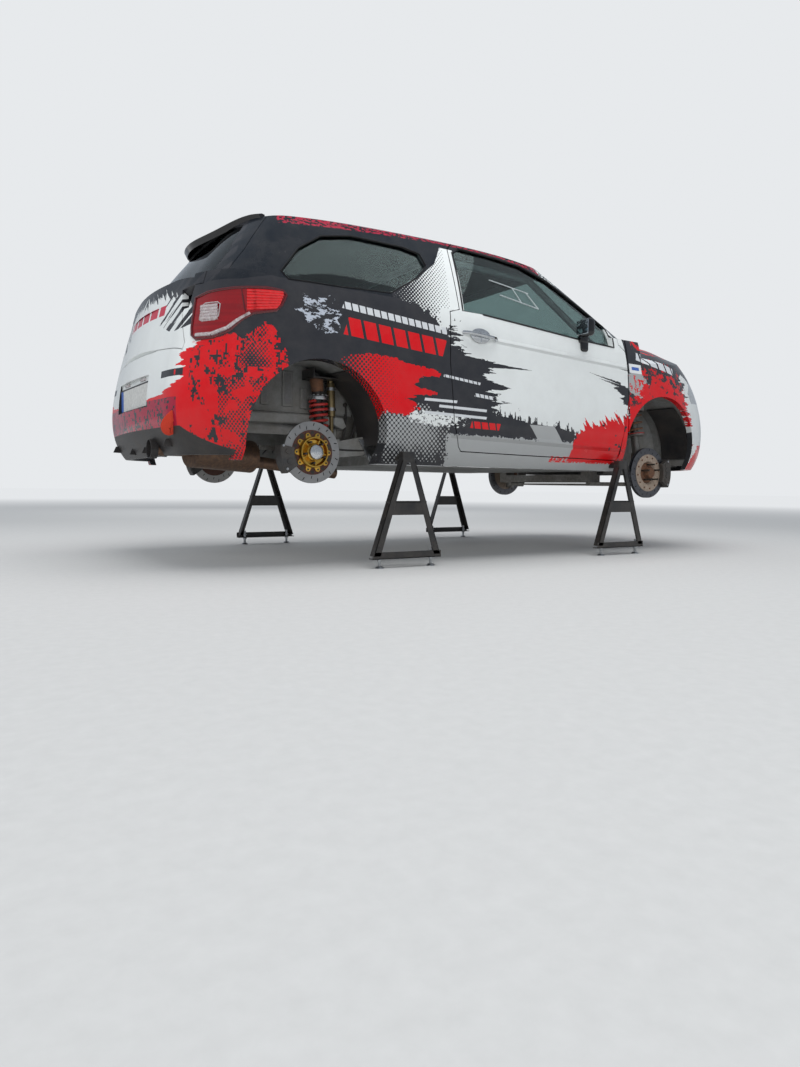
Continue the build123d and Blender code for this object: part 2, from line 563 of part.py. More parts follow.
damper = rod((*DAMPER[:2], DAMPER[2] + SEAT), (*DAMPER[:2], 600), DAMPER[3])
parts["rear_dampers"] = pair(damper)
caliper = block(-1420, -1340, -722, -640, 190, 300)
caliper += prism_y([(-1345, 215), (-1262, 215), (-1262, 262), (-1345, 262)], -668, -640)
parts["rear_calipers"] = pair(largest(leant(DISC_R, caliper) - disc_slot(DISC_R) - arm))

# Roof spoiler on the tailgate
# y, x and z of the trailing edge, z of the front edge
SPOILER = [(0, -1606, 1340, 1416), (200, -1570, 1348, 1411), (350, -1508, 1376, 1400), (450, -1452, 1392, 1394),
           (496, -1428, 1388, 1390)]
wires = []
for y, x, z, front in [(-a, b, c, d) for a, b, c, d in SPOILER[:0:-1]] + SPOILER:
    rise = 26 * (-1396 - x) / 210
    wires.append(Wire.make_polygon([(-1396, y, front), (0.5 * (x - 1396), y, 0.5 * (z + front) + rise), (x, y, z),
                                    (x + 16, y, z - 26), (0.5 * (x - 1396) + 8, y, 0.5 * (z + front) + rise - 34),
                                    (-1396, y, front - 22)], close=True))
blade = Solid.make_loft(wires)
parts["roof_spoiler"] = largest(blade - OUTER - parts["tailgate"])

# Number plate, tow loop
parts["number_plate"] = block(-1894, -1890, -260, 260, 456, 566)


# Stands
def stand(x, side):
    y = side * 870
    base = -327
    s = block(x - 205, x + 205, y - 20, y + 20, base + 45, base + 60)
    for k in (-1, 1):
        s += prism_y([(x + k * 200, base + 60), (x + k * 160, base + 60), (x + k * 4, base + 540),
                      (x + k * 36, base + 540)], y - 20, y + 20)
        s += Pos(x + k * 155, y, base + 32) * Cylinder(8, 60)
        s += Pos(x + k * 155, y, base + 5) * Cylinder(24, 10)
    s += block(x - 110, x + 110, y - 16, y + 16, base + 262, base + 332)
    s += block(x - 36, x + 36, y - 20, y + 20, base + 524, base + 576)
    s += wheel_disc(y, side * 740, 18, x, base + 549)
    return s


stands = [stand(x, k) for x in (-797, 783) for k in (-1, 1)]
sockets = [wheel_disc(k * 900, k * 740, 18, x, 222) for x in (-797, 783) for k in (-1, 1)]
for s in sockets:
    parts["body_sides"] = Compound([p - s for p in parts["body_sides"].solids()])
parts["stands"] = Compound([s for stand_ in stands for s in stand_.solids()])

place = Pos(-CENTRE_X, 0, LIFT)
for name, shape in parts.items():
    moved = shape.moved(place)
    export_step(moved, "parts/" + name + ".step")
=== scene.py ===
"""Three-door rally car standing with its wheels off on four A-frame stands: its looks.

Object coordinates are the frame's own: x forward, y to the car's left, z up, in metres.
The livery is laid out on the body's height over the road and along its side, round the corners.
"""

import bmesh
import bpy
import math
from mathutils import Matrix, Vector
from mathutils.bvhtree import BVHTree


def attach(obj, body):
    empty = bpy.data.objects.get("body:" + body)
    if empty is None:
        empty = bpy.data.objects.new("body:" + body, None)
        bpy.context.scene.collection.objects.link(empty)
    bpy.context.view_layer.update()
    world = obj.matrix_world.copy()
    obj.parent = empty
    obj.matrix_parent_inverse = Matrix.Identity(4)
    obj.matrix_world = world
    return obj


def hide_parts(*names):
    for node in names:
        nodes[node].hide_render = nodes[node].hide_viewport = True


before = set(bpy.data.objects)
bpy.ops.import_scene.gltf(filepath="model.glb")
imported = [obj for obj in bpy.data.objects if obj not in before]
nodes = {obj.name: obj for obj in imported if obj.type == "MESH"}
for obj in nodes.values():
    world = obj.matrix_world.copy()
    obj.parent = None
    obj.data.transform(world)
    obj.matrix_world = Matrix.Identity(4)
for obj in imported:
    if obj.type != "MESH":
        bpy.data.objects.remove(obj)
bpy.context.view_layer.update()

SHIFT = 0.0691          # the axles' middle lies this far behind x = 0
LIFT = 0.327            # the body's height over its height on its wheels
SIDE = 0.845            # half width of the body at the doors

WHITE = (0.72, 0.745, 0.735)
DARK = (0.022, 0.023, 0.028)
RED = (0.62, 0.002, 0.006)
SILVER = (0.36, 0.37, 0.37)
CRIMSON = (0.34, 0.003, 0.030)
INK = (0.006, 0.009, 0.014)       # gloss black of the upper cab
STICKER_BLUE = (0.05, 0.12, 0.42)
PALE = (0.62, 0.64, 0.66)
PANEL_COAT = 0.22

DOOR_FRONT = 0.872      # the door's front edge on the unrolled side


# Shader graphs

class Graph:
    """A node tree with short names for the nodes that a pattern is made of."""

    def __init__(self, tree):
        self.tree = tree

    def node(self, kind, **settings):
        made = self.tree.nodes.new(kind)
        for name, value in settings.items():
            setattr(made, name, value)
        return made

    def feed(self, socket, value):
        if isinstance(value, bpy.types.NodeSocket):
            self.tree.links.new(value, socket)
        elif socket.type == "RGBA" and not isinstance(value, (int, float)):
            socket.default_value = (*value[:3], 1)
        else:
            socket.default_value = value

    def math(self, operation, a, b=0.0, c=0.0, clamp=False):
        made = self.node("ShaderNodeMath", operation=operation, use_clamp=clamp)
        for socket, value in zip(made.inputs, (a, b, c)):
            self.feed(socket, value)
        return made.outputs[0]

    def add(self, a, b):
        return self.math("ADD", a, b)

    def sub(self, a, b):
        return self.math("SUBTRACT", a, b)

    def mul(self, a, b):
        return self.math("MULTIPLY", a, b)

    def scaled(self, a, share, rest, clamp=False):
        """a times the share, plus the rest."""
        return self.math("MULTIPLY_ADD", a, share, rest, clamp)

    def over(self, a, b):
        """1 where a is more than b."""
        return self.math("GREATER_THAN", a, b)

    def both(self, *masks):
        result = masks[0]
        for mask in masks[1:]:
            result = self.math("MULTIPLY", result, mask)
        return result

    def either(self, *masks):
        result = masks[0]
        for mask in masks[1:]:
            result = self.math("MAXIMUM", result, mask)
        return result

    def within(self, value, low, high):
        return self.both(self.over(value, low), self.over(high, value))

    def vector(self, x, y, z=0.0):
        made = self.node("ShaderNodeCombineXYZ")
        for socket, value in zip(made.inputs, (x, y, z)):
            self.feed(socket, value)
        return made.outputs[0]

    def place(self):
        """Object coordinates and their x, y and z."""
        where = self.node("ShaderNodeTexCoord").outputs["Object"]
        split = self.node("ShaderNodeSeparateXYZ")
        self.feed(split.inputs[0], where)
        return where, split.outputs[0], split.outputs[1], split.outputs[2]

    def stretched(self, where, scale, offset=(0, 0, 0)):
        made = self.node("ShaderNodeMapping")
        self.feed(made.inputs["Vector"], where)
        made.inputs["Scale"].default_value = scale
        made.inputs["Location"].default_value = offset
        return made.outputs[0]

    def noise(self, where, scale, detail=2.0, rough=0.5):
        made = self.node("ShaderNodeTexNoise")
        for name, value in (("Vector", where), ("Scale", scale), ("Detail", detail), ("Roughness", rough)):
            self.feed(made.inputs[name], value)
        return made.outputs["Fac"]

    def curve(self, value, points):
        """Straight runs through points of (in, out)."""
        points = sorted(points)
        x0, x1 = points[0][0], points[-1][0]
        low = min(p[1] for p in points)
        high = max(p[1] for p in points)
        ramp = self.node("ShaderNodeValToRGB")
        stops = ramp.color_ramp.elements
        while len(stops) < len(points):
            stops.new(0.5)
        for stop, (x, y) in zip(stops, points):
            stop.position = (x - x0) / (x1 - x0)
        for stop, (x, y) in zip(stops, points):
            level = (y - low) / (high - low)
            stop.color = (level, level, level, 1)
        share = self.math("DIVIDE", self.sub(value, x0), x1 - x0, clamp=True)
        self.feed(ramp.inputs[0], share)
        return self.scaled(ramp.outputs[0], high - low, low)

    def mix(self, mask, below, above):
        made = self.node("ShaderNodeMix", data_type="RGBA")
        self.feed(made.inputs["Factor"], mask)
        self.feed(made.inputs[6], below)
        self.feed(made.inputs[7], above)
        return made.outputs[2]

    def blend(self, mask, below, above):
        made = self.node("ShaderNodeMix", data_type="FLOAT")
        self.feed(made.inputs[0], mask)
        self.feed(made.inputs[2], below)
        self.feed(made.inputs[3], above)
        return made.outputs[0]

    def bump(self, height, distance):
        made = self.node("ShaderNodeBump")
        made.inputs["Strength"].default_value = 1.0
        made.inputs["Distance"].default_value = distance
        self.feed(made.inputs["Height"], height)
        return made.outputs[0]


def new_group(name, inputs, outputs):
    tree = bpy.data.node_groups.new(name, "ShaderNodeTree")
    for label, kind, value in inputs:
        socket = tree.interface.new_socket(label, in_out="INPUT", socket_type="NodeSocket" + kind)
        if value is not None:
            socket.default_value = value
    for label, kind in outputs:
        tree.interface.new_socket(label, in_out="OUTPUT", socket_type="NodeSocket" + kind)
    graph = Graph(tree)
    return graph, graph.node("NodeGroupInput").outputs, graph.node("NodeGroupOutput").inputs


def use(graph, tree, **values):
    made = graph.node("ShaderNodeGroup")
    made.node_tree = tree
    for name, value in values.items():
        graph.feed(made.inputs[name.replace("_", " ")], value)
    return made.outputs


def new_material(name, **settings):
    material = bpy.data.materials.new(name)
    material.use_nodes = True
    graph = Graph(material.node_tree)
    shader = material.node_tree.nodes["Principled BSDF"]
    for key, value in settings.items():
        graph.feed(shader.inputs[key.replace("_", " ")], value)
    return material, graph, shader


def dress(names, material):
    for name in names.split():
        nodes[name].data.materials.clear()
        nodes[name].data.materials.append(material)


# Livery

def dot_grid():
    """Round dots on a square grid turned by 45 degrees; Fill is the dots' share."""
    g, come, go = new_group("Dot grid", [("Along", "Float", 0.0), ("Up", "Float", 0.0),
                                         ("Pitch", "Float", 0.02), ("Fill", "Float", 0.5)],
                            [("Mask", "Float")])
    a = g.math("DIVIDE", g.add(come["Along"], come["Up"]), come["Pitch"])
    b = g.math("DIVIDE", g.sub(come["Along"], come["Up"]), come["Pitch"])
    a = g.sub(g.math("FRACT", a), 0.5)
    b = g.sub(g.math("FRACT", b), 0.5)
    reach = g.math("SQRT", g.add(g.mul(a, a), g.mul(b, b)))
    g.feed(go["Mask"], g.over(g.mul(come["Fill"], 0.72), reach))
    return g.tree


def broken_blocks():
    """Small square bits that fill in with Density, as a pattern breaks up at its edge."""
    g, come, go = new_group("Broken blocks", [("Along", "Float", 0.0), ("Up", "Float", 0.0),
                                              ("Pitch", "Float", 0.012), ("Density", "Float", 0.5)],
                            [("Mask", "Float")])
    a = g.math("SNAP", come["Along"], come["Pitch"])
    b = g.math("SNAP", come["Up"], come["Pitch"])
    made = g.node("ShaderNodeTexWhiteNoise", noise_dimensions="2D")
    g.feed(made.inputs["Vector"], g.vector(a, b))
    clump = g.noise(g.vector(a, b), 26.0, 2.0)
    level = g.add(g.mul(made.outputs["Value"], 0.3), clump)
    g.feed(go["Mask"], g.over(come["Density"], level))
    return g.tree


def blot():
    """A ragged splash round a middle point, with spray at its rim."""
    g, come, go = new_group("Blot", [("Along", "Float", 0.0), ("Up", "Float", 0.0), ("Middle", "Float", 0.0),
                                     ("Height", "Float", 0.0), ("Half length", "Float", 0.1),
                                     ("Half height", "Float", 0.1), ("Ragged", "Float", 0.6),
                                     ("Grain", "Float", 18.0)], [("Mask", "Float"), ("Depth", "Float")])
    a = g.math("DIVIDE", g.sub(come["Along"], come["Middle"]), come["Half length"])
    b = g.math("DIVIDE", g.sub(come["Up"], come["Height"]), come["Half height"])
    reach = g.math("SQRT", g.add(g.mul(a, a), g.mul(b, b)))
    where = g.vector(come["Along"], come["Up"], come["Middle"])
    torn = g.mul(g.sub(g.noise(where, come["Grain"], 4.0, 0.65), 0.5), g.mul(come["Ragged"], 3.2))
    depth = g.sub(1.0, g.add(reach, torn))
    g.feed(go["Mask"], g.over(depth, 0.0))
    g.feed(go["Depth"], depth)
    return g.tree


dots, blocks, splash = dot_grid(), broken_blocks(), blot()

# Edges of the livery's fields, in metres over the road and along the unrolled side
# Edge of the dark splash on the door: height, place along the side
DOOR_EDGE = [(1.10, -.530), (.989, -.515), (.932, -.491), (.872, -.458), (.812, -.425), (.765, -.395),
             (.742, -.120), (.731, .040), (.718, -.210), (.701, -.250), (.660, -.300), (.641, -.195),
             (.618, -.100), (.600, -.210), (.563, -.193), (.526, -.171), (.475, -.206), (.442, -.012),
             (.423, .272), (.400, .430)]
# Lower edge of the door's white: place along the side, height
DOOR_FOOT = [(-.55, .50), (-.206, .475), (-.012, .448), (.12, .43), (.272, .42), (.442, .39), (.60, .34),
             (.80, .34)]
# Top of the red at the door's front foot: place, height
FRONT_RED = [(.25, .245), (.30, .262), (.39, .30), (.415, .36), (.45, .41), (.50, .45), (.58, .46),
             (.66, .475), (.74, .505), (.82, .50), (.90, .50)]
# Upper and lower edges of the red splash ahead of the rear arch: place, height
SPLASH_TOP = [(-1.25, .60), (-1.16, .655), (-1.13, .685), (-1.03, .712), (-.90, .712), (-.80, .695),
              (-.70, .682), (-.61, .672), (-.55, .655)]
SPLASH_FOOT = [(-1.25, .30), (-.96, .42), (-.90, .455), (-.80, .475), (-.745, .505), (-.72, .595),
               (-.66, .607), (-.62, .65), (-.55, .665)]
# Front edge of the red on the rear corner: height, place; its upper edge: place, height
CORNER_SIDE = [(.20, -1.24), (.50, -1.34), (.60, -1.42), (.70, -1.455), (.77, -1.495), (.86, -1.60)]
CORNER_TOP = [(-2.20, .64), (-2.06, .68), (-2.0, .725), (-1.83, .742), (-1.74, .742), (-1.68, .725),
              (-1.61, .77), (-1.545, .795), (-1.487, .775), (-1.43, .70)]
# Bars where the car carries its signs: start, end, height there, thickness, slope, colour, pitch of the cuts
BARS = [(-1.155, -.535, .930, .034, -.085, PALE, .040), (-1.135, -.552, .832, .086, -.075, RED, .084),
        (-.676, -.470, .520, .014, .0, PALE, None), (-.676, -.270, .455, .014, -.02, PALE, None),
        (-.585, -.270, .492, .014, -.02, PALE, None), (-.374, -.174, .408, .036, -.02, RED, .052),
        (-.557, -.315, .650, .014, -.10, PALE, .030), (-.352, -.224, .566, .018, -.08, PALE, .030),
        (.975, 1.373, .905, .050, -.16, PALE, .082)]
# Thin strokes ahead of the dark splash: start, end, height, thickness
STROKES = [(.515, .80, .766, .007), (.60, .845, .738, .009), (.70, .86, .715, .005)]
# Plain patches: start, end, low, high, colour
PATCHES = [(-2.30, -2.07, .565, .598, DARK), (-2.15, -2.135, .57, .593, RED),
           (.892, 1.008, .797, .853, (0.72, 0.74, 0.75)), (.915, .985, .815, .835, STICKER_BLUE)]
# Rear edge of the red on the rear corner: height, place round the corner
REAR_RED = [(.30, -2.9), (.455, -2.9), (.475, -2.50), (.49, -2.28), (.52, -2.16), (.561, -2.075),
            (.62, -2.10), (.673, -2.06), (.70, -2.00), (.718, -1.93), (.73, -1.80), (.76, -1.70),
            (.85, -1.52), (.90, -1.40)]
# Foot of the white fin between the windows: place, height
FIN_FOOT = [(-.95, 1.04), (-.89, 1.03), (-.83, 1.03), (-.795, .996), (-.753, 1.01), (-.70, .985),
            (-.62, .95), (-.578, .921), (-.55, .95), (-.521, .98), (-.47, .93), (-.40, 1.0)]


def livery_group():
    g, _, go = new_group("Livery", [], [("Color", "Color"), ("Roughness", "Float")])
    where, x, y, z = g.place()
    x = g.add(x, SHIFT)
    up = g.sub(z, LIFT)
    wide = g.math("ABSOLUTE", y)
    turn = g.math("MINIMUM", g.math("MAXIMUM", g.math("DIVIDE", x, 1.2), -1.0), 1.0)
    along = g.add(x, g.mul(turn, g.sub(SIDE, wide)))
    flat = g.vector(along, up)

    # Streaks that tear the edges: long ones along the side, upright ones at the foot
    level_streak = g.noise(g.stretched(flat, (5.0, 44.0, 1.0)), 1.0, 3.0, 0.6)
    upright_streak = g.noise(g.stretched(flat, (42.0, 6.0, 1.0), (3.1, 0, 0)), 1.0, 3.0, 0.6)
    slant = g.noise(g.stretched(g.vector(g.add(along, g.mul(up, 0.75)), up), (34.0, 5.0, 1.0)), 1.0, 3.0, 0.6)
    fine = g.noise(flat, 55.0, 3.0, 0.6)
    cloud = g.noise(flat, 9.0, 3.0, 0.55)
    tear = g.mul(g.sub(level_streak, 0.47), 0.42)
    tooth = g.mul(g.sub(upright_streak, 0.47), 0.34)
    tooth_slant = g.mul(g.sub(slant, 0.47), 0.40)
    crumb = g.mul(g.sub(fine, 0.5), 0.06)

    paint = g.mix(0.0, DARK, DARK)

    def lay(mask, colour):
        nonlocal paint
        paint = g.mix(mask, paint, colour)

    def blot_at(middle, height, half_length, half_height, ragged, grain):
        return use(g, splash, Along=along, Up=up, Middle=middle, Height=height, Half_length=half_length,
                   Half_height=half_height, Ragged=ragged, Grain=grain)

    def blob(*sizes):
        return blot_at(*sizes)["Mask"]

    def halftone(pitch, fill):
        return use(g, dots, Along=along, Up=up, Pitch=pitch, Fill=fill)["Mask"]

    def bits(density, pitch=0.011):
        return use(g, blocks, Along=along, Up=up, Pitch=pitch, Density=density)["Mask"]

    # Gloss black above the belt line, behind the doors and over them
    belt = g.curve(x, [(-2.2, .985), (-1.62, .993), (-1.42, 1.036), (-1.25, 1.025), (-.45, 1.012), (.45, 1.0),
                       (.84, .99), (.86, 2.0)])
    lay(g.over(g.scaled(crumb, 0.02, up), belt), INK)
    # White door with its torn rear edge and foot
    past_edge = g.over(g.add(along, g.add(tear, crumb)), g.curve(up, DOOR_EDGE))
    past_foot = g.over(g.add(up, g.scaled(tooth, -0.8, crumb)), g.curve(along, DOOR_FOOT))
    lay(g.both(past_edge, past_foot, g.over(1.06, up), g.over(DOOR_FRONT, along)), WHITE)
    # Thin strokes ahead of the splash and a dark wedge at the door's front edge
    for start, end, height, thick in STROKES:
        run = g.sub(along, start)
        level = g.scaled(crumb, 0.25, g.sub(up, g.scaled(run, -0.16, height)))
        taper = g.mul(g.math("DIVIDE", run, end - start), thick)
        lay(g.both(g.over(taper, g.math("ABSOLUTE", level)), g.within(along, start, end)), DARK)
    half_torn = g.scaled(tear, 0.5, along)
    wedge_rear = g.curve(up, [(.50, .89), (.56, .86), (.66, .80), (.69, .74), (.72, .90)])
    lay(g.both(g.over(half_torn, wedge_rear), g.within(up, 0.50, 0.70), g.over(0.93, along)), DARK)
    # Silver along the sill and a slanted silver patch at its foot: painted reflection low on the side
    sill_reflection_top = g.curve(along, [(-1.0, .245), (-.7, .30), (-.55, .355), (0.0, .350), (.39, .345), (.80, .31)])
    lay(g.both(g.over(sill_reflection_top, g.add(up, crumb)), g.over(g.scaled(crumb, 2.5, along), -0.53),
               g.over(0.90, along)), SILVER)
    lay(g.both(g.within(g.scaled(up, 0.9, along), 0.43, 0.62), g.within(up, 0.34, 0.43)), SILVER)
    # Silver dots and white crumbs ahead of the rear arch
    area = blot_at(-0.80, 0.35, 0.30, 0.155, 0.45, 12.0)
    silver_fill = g.math("MINIMUM", g.scaled(area["Depth"], 0.40, 0.36), 0.62)
    lay(g.both(area["Mask"], halftone(0.026, silver_fill)), SILVER)
    lay(g.both(blob(-0.60, 0.425, 0.17, 0.035, 0.9, 30.0), g.over(fine, 0.44)), WHITE)
    # White fin between the windows, with dark dots at its rear and a drip under it
    fin_rear = g.curve(up, [(.90, -.62), (.95, -.86), (1.03, -.90), (1.08, -.84), (1.17, -.69), (1.26, -.58),
                            (1.37, -.52)])
    fin_front = g.curve(up, [(.90, -.50), (.99, -.40), (1.15, -.405), (1.37, -.42)])
    fin = g.both(g.over(g.scaled(tooth, 0.5, up), g.curve(along, FIN_FOOT)), g.over(1.37, up),
                 g.over(along, fin_rear), g.over(fin_front, along))
    behind_door = g.over(-0.50, along)
    lay(fin, WHITE)
    lay(g.both(fin, halftone(0.022, g.scaled(along, -1.9, -0.72)), behind_door), DARK)
    lay(g.both(blob(-0.545, 0.945, 0.045, 0.06, 0.8, 30.0), behind_door), WHITE)
    # Red splash ahead of the rear arch
    torn = g.scaled(tear, 0.55, along)
    red_top = g.scaled(tooth, 0.10, g.curve(torn, SPLASH_TOP))
    frayed = g.add(up, g.scaled(g.sub(cloud, 0.5), 0.16, crumb))
    red = g.both(g.over(red_top, up), g.over(frayed, g.curve(torn, SPLASH_FOOT)),
                 g.within(along, -1.25, -0.55))
    tips = g.either(blob(-0.69, 0.556, 0.085, 0.017, 0.5, 26.0), blob(-0.83, 0.47, 0.10, 0.035, 0.9, 26.0))
    lay(g.either(red, tips), RED)
    lay(g.both(red, halftone(0.024, g.scaled(along, -2.1, -1.65))), DARK)
    # Red at the front foot of the door and a broken line along the sill
    foot = g.both(g.over(g.scaled(tooth_slant, 0.75, g.curve(along, FRONT_RED)), up),
                  g.within(along, 0.40, 0.93), g.over(up, 0.235))
    dash = g.both(g.within(up, 0.228, 0.262), g.within(along, 0.25, 0.80), g.over(fine, 0.47))
    lay(g.either(foot, dash), RED)
    lay(g.both(foot, bits(0.46), g.over(g.add(along, up), 1.02)), DARK)
    # Wing: grey patch, red splats round the arch, white and red nose
    lay(g.both(blob(0.955, 0.735, 0.10, 0.085, 0.5, 14.0), g.over(along, 0.866)), SILVER)
    ring = g.math("SQRT", g.add(g.math("POWER", g.sub(x, 1.22), 2.0), g.math("POWER", g.sub(up, 0.30), 2.0)))
    splat = g.scaled(g.sub(g.noise(flat, 19.0, 4.0, 0.72), 0.46), 0.95, ring)
    spray_rim = g.curve(along, [(.87, .50), (1.0, .53), (1.10, .56), (1.30, .52), (1.5, .50), (1.7, .44)])
    lay(g.both(g.over(spray_rim, splat), g.within(along, DOOR_FRONT, 1.75), g.over(up, 0.3)), RED)
    nose_top = g.curve(along, [(1.45, .86), (1.60, .82), (1.80, .74), (2.10, .66), (2.80, .64)])
    nose_rear = g.curve(up, [(.20, 1.60), (.50, 1.58), (.62, 1.53), (.80, 1.50), (.90, 1.58), (1.0, 1.75)])
    lay(g.both(g.over(g.scaled(tooth, 0.3, nose_top), up),
               g.over(g.add(along, g.scaled(crumb, 1.5, tear)), nose_rear), g.over(1.02, up)), WHITE)
    chin_rear = g.curve(up, [(.15, 1.62), (.30, 1.70), (.38, 1.76), (.43, 2.9)])
    lay(g.both(g.over(half_torn, chin_rear), g.over(0.43, up)), RED)

    # Rear: white tail with dark strokes, red corner with black bits and dots, and crimson painted shade on the
    # corner's lower part
    tail = g.over(-1.86, along)
    tail_top = g.curve(along, [(-2.75, .998), (-2.4, .988), (-2.30, .975), (-2.15, .95), (-2.02, .90),
                               (-1.90, .86)])
    lay(g.both(g.over(tail_top, g.scaled(tooth_slant, 0.55, up)), tail), WHITE)
    brushed = g.noise(g.stretched(g.vector(g.sub(along, g.mul(up, 1.7)), up), (11.0, 2.2, 1.0)), 1.0, 3.0, 0.6)
    stroke_level = g.curve(along, [(-2.55, .86), (-2.42, .62), (-2.30, .53), (-2.10, .47), (-1.95, .45)])
    stroke_foot = g.curve(along, [(-2.6, .97), (-2.42, .84), (-2.25, .78), (-2.10, .79), (-1.90, .82)])
    lay(g.both(g.over(brushed, stroke_level), g.over(up, stroke_foot), tail), DARK)
    corner = g.both(g.over(g.scaled(tear, 0.8, along), g.curve(up, REAR_RED)),
                    g.over(g.curve(up, CORNER_SIDE), g.sub(along, g.mul(crumb, 1.2))),
                    g.over(g.scaled(tooth_slant, 0.25, g.curve(along, CORNER_TOP)), up))
    lay(corner, RED)
    # The red corner's lower part, under 0.47 m, is crimson: painted shade low on the corner, with black bits
    # laid over it.
    low_corner_shade = g.both(corner, g.over(0.47, up), g.over(-2.12, along))
    lay(low_corner_shade, CRIMSON)
    lay(g.both(low_corner_shade, bits(g.scaled(cloud, 0.9, 0.10), 0.013)), DARK)
    dotted = g.both(corner, g.over(along, -1.70), g.over(up, .60))
    dot_fill = g.scaled(g.sub(cloud, 0.5), 1.6, g.curve(along, [(-1.70, .55), (-1.58, .50), (-1.48, 1.05)]))
    lay(dotted, DARK)
    lay(g.both(dotted, halftone(0.021, dot_fill)), RED)
    dotted = g.both(corner, g.over(g.scaled(up, -0.25, cloud), 0.36), g.over(along, -1.82), g.over(.60, up))
    lay(g.both(dotted, halftone(0.021, 0.50)), DARK)
    crowd = g.curve(up, [(.2, -.30), (.33, -.26), (.42, -.40), (.58, -.16), (.75, -.30)])
    lay(g.both(corner, bits(g.scaled(cloud, 1.5, crowd)), g.over(along, -2.02)), DARK)

    # Plain bars, patches and a sketchy splash where the car carries signs
    for start, end, height, thick, slope, tint, pitch in BARS:
        level = g.scaled(g.sub(along, start), -slope, g.sub(up, height))
        bar = g.both(g.within(g.scaled(level, -0.3, along), start, end),
                     g.over(thick / 2, g.math("ABSOLUTE", level)))
        if pitch:
            cut = g.math("FRACT", g.math("DIVIDE", g.scaled(up, 0.25, along), pitch))
            bar = g.both(bar, g.over(cut, 0.2))
        lay(bar, tint)
    grain = g.noise(g.stretched(flat, (16.0, 30.0, 1.0), (2.0, 1.0, 0.0)), 1.0, 5.0, 0.7)
    lay(g.both(blob(-1.27, .885, .125, .085, 0.75, 9.0), g.over(grain, 0.52)), (0.45, 0.49, 0.56))
    lay(g.both(g.over(0.30, wide), g.over(-1.7, x), g.within(up, .885, .935),
               g.over(g.math("FRACT", g.mul(y, 8.5)), 0.18)), (0.50, 0.01, 0.04))
    for start, end, low, high, tint in PATCHES:
        lay(g.both(g.within(along, start, end), g.within(up, low, high)), tint)

    # Roof edge: crimson specks on dark, white ones over the windscreen's corner
    rail_foot = g.curve(x, [(-1.5, 1.33), (-1.2, 1.345), (-.5, 1.392), (0.0, 1.398), (.25, 1.36), (.50, 1.26),
                            (.70, 1.15)])
    flecks = g.over(g.noise(g.stretched(where, (1.0, 1.0, 2.4)), 46.0, 3.0, 0.6), 0.50)
    rail = g.both(g.over(up, rail_foot), g.over(wide, 0.46), flecks)
    lay(g.both(rail, g.within(x, -1.36, 0.30)), CRIMSON)
    lay(g.both(rail, g.within(x, 0.30, 0.44)), WHITE)
    # Bonnet: dark with red spray near its sides
    top = g.both(g.over(x, 0.92), g.over(up, g.curve(x, [(.9, .95), (1.4, .93), (1.7, .84), (2.0, .70)])))
    lay(g.both(top, g.over(g.scaled(wide, 0.22, g.noise(flat, 20.0, 4.0, 0.7)), 0.70)), RED)

    g.feed(go["Color"], paint)
    g.feed(go["Roughness"], g.scaled(cloud, 0.06, 0.20))
    return g.tree


livery = livery_group()


def grime_group():
    """Dust in noise patches; Amount scales it."""
    g, come, go = new_group("Grime", [("Amount", "Float", 1.0), ("Size", "Float", 6.0)], [("Mask", "Float")])
    patch = g.noise(g.place()[0], come["Size"], 6.0, 0.65)
    spread = g.scaled(patch, 2.2, -0.75, clamp=True)
    g.feed(go["Mask"], g.math("MULTIPLY", spread, come["Amount"], clamp=True))
    return g.tree


def worn_group():
    """Fine scratches and pits for bare metal: a mask and a height."""
    g, come, go = new_group("Worn metal", [("Size", "Float", 60.0)], [("Mask", "Float"), ("Height", "Float")])
    marks = g.noise(g.place()[0], come["Size"], 5.0, 0.7)
    g.feed(go["Mask"], g.scaled(marks, 3.0, -1.1, clamp=True))
    g.feed(go["Height"], marks)
    return g.tree


grime, worn = grime_group(), worn_group()


def coated(name, colour, rough, dusty=0.0, dust=(0.16, 0.13, 0.10), metal=0.0, pits=0.0, size=60.0, coat=0.0,
           second=None):
    """Painted, plated or moulded surface with wear in its colour, gloss and height."""
    material, g, shader = new_material(name, Metallic=metal, Coat_Weight=coat, Coat_Roughness=0.06)
    wear = use(g, worn, Size=size)
    base = g.mix(wear["Mask"], second or tuple(c * 0.72 for c in colour), colour)
    dirt = use(g, grime, Amount=dusty, Size=7.0)["Mask"]
    g.feed(shader.inputs["Base Color"], g.mix(dirt, base, dust))
    gloss = g.scaled(wear["Mask"], -0.10, rough + 0.05)
    g.feed(shader.inputs["Roughness"], g.scaled(dirt, 0.35, gloss, clamp=True))
    if pits:
        g.feed(shader.inputs["Normal"], g.bump(wear["Height"], pits))
    return material


def inner_side_group():
    """1 on faces that look towards the middle of the cab, where the wrapped panels are painted dark as painted
    shade.
    """
    g, _, go = new_group("Inner side", [], [("Mask", "Float")])
    where, x = g.place()[:2]
    turned = g.node("ShaderNodeVectorTransform", vector_type="NORMAL", convert_from="WORLD", convert_to="OBJECT")
    g.feed(turned.inputs[0], g.node("ShaderNodeNewGeometry").outputs["Normal"])
    middle = g.vector(g.math("MINIMUM", g.math("MAXIMUM", x, -1.45), 1.35), 0.0, 1.02)
    away = g.node("ShaderNodeVectorMath", operation="SUBTRACT")
    g.feed(away.inputs[0], where)
    g.feed(away.inputs[1], middle)
    product = g.node("ShaderNodeVectorMath", operation="DOT_PRODUCT")
    g.feed(product.inputs[0], away.outputs[0])
    g.feed(product.inputs[1], turned.outputs[0])
    g.feed(go["Mask"], g.over(-0.02, product.outputs["Value"]))
    return g.tree


inner_side = inner_side_group()


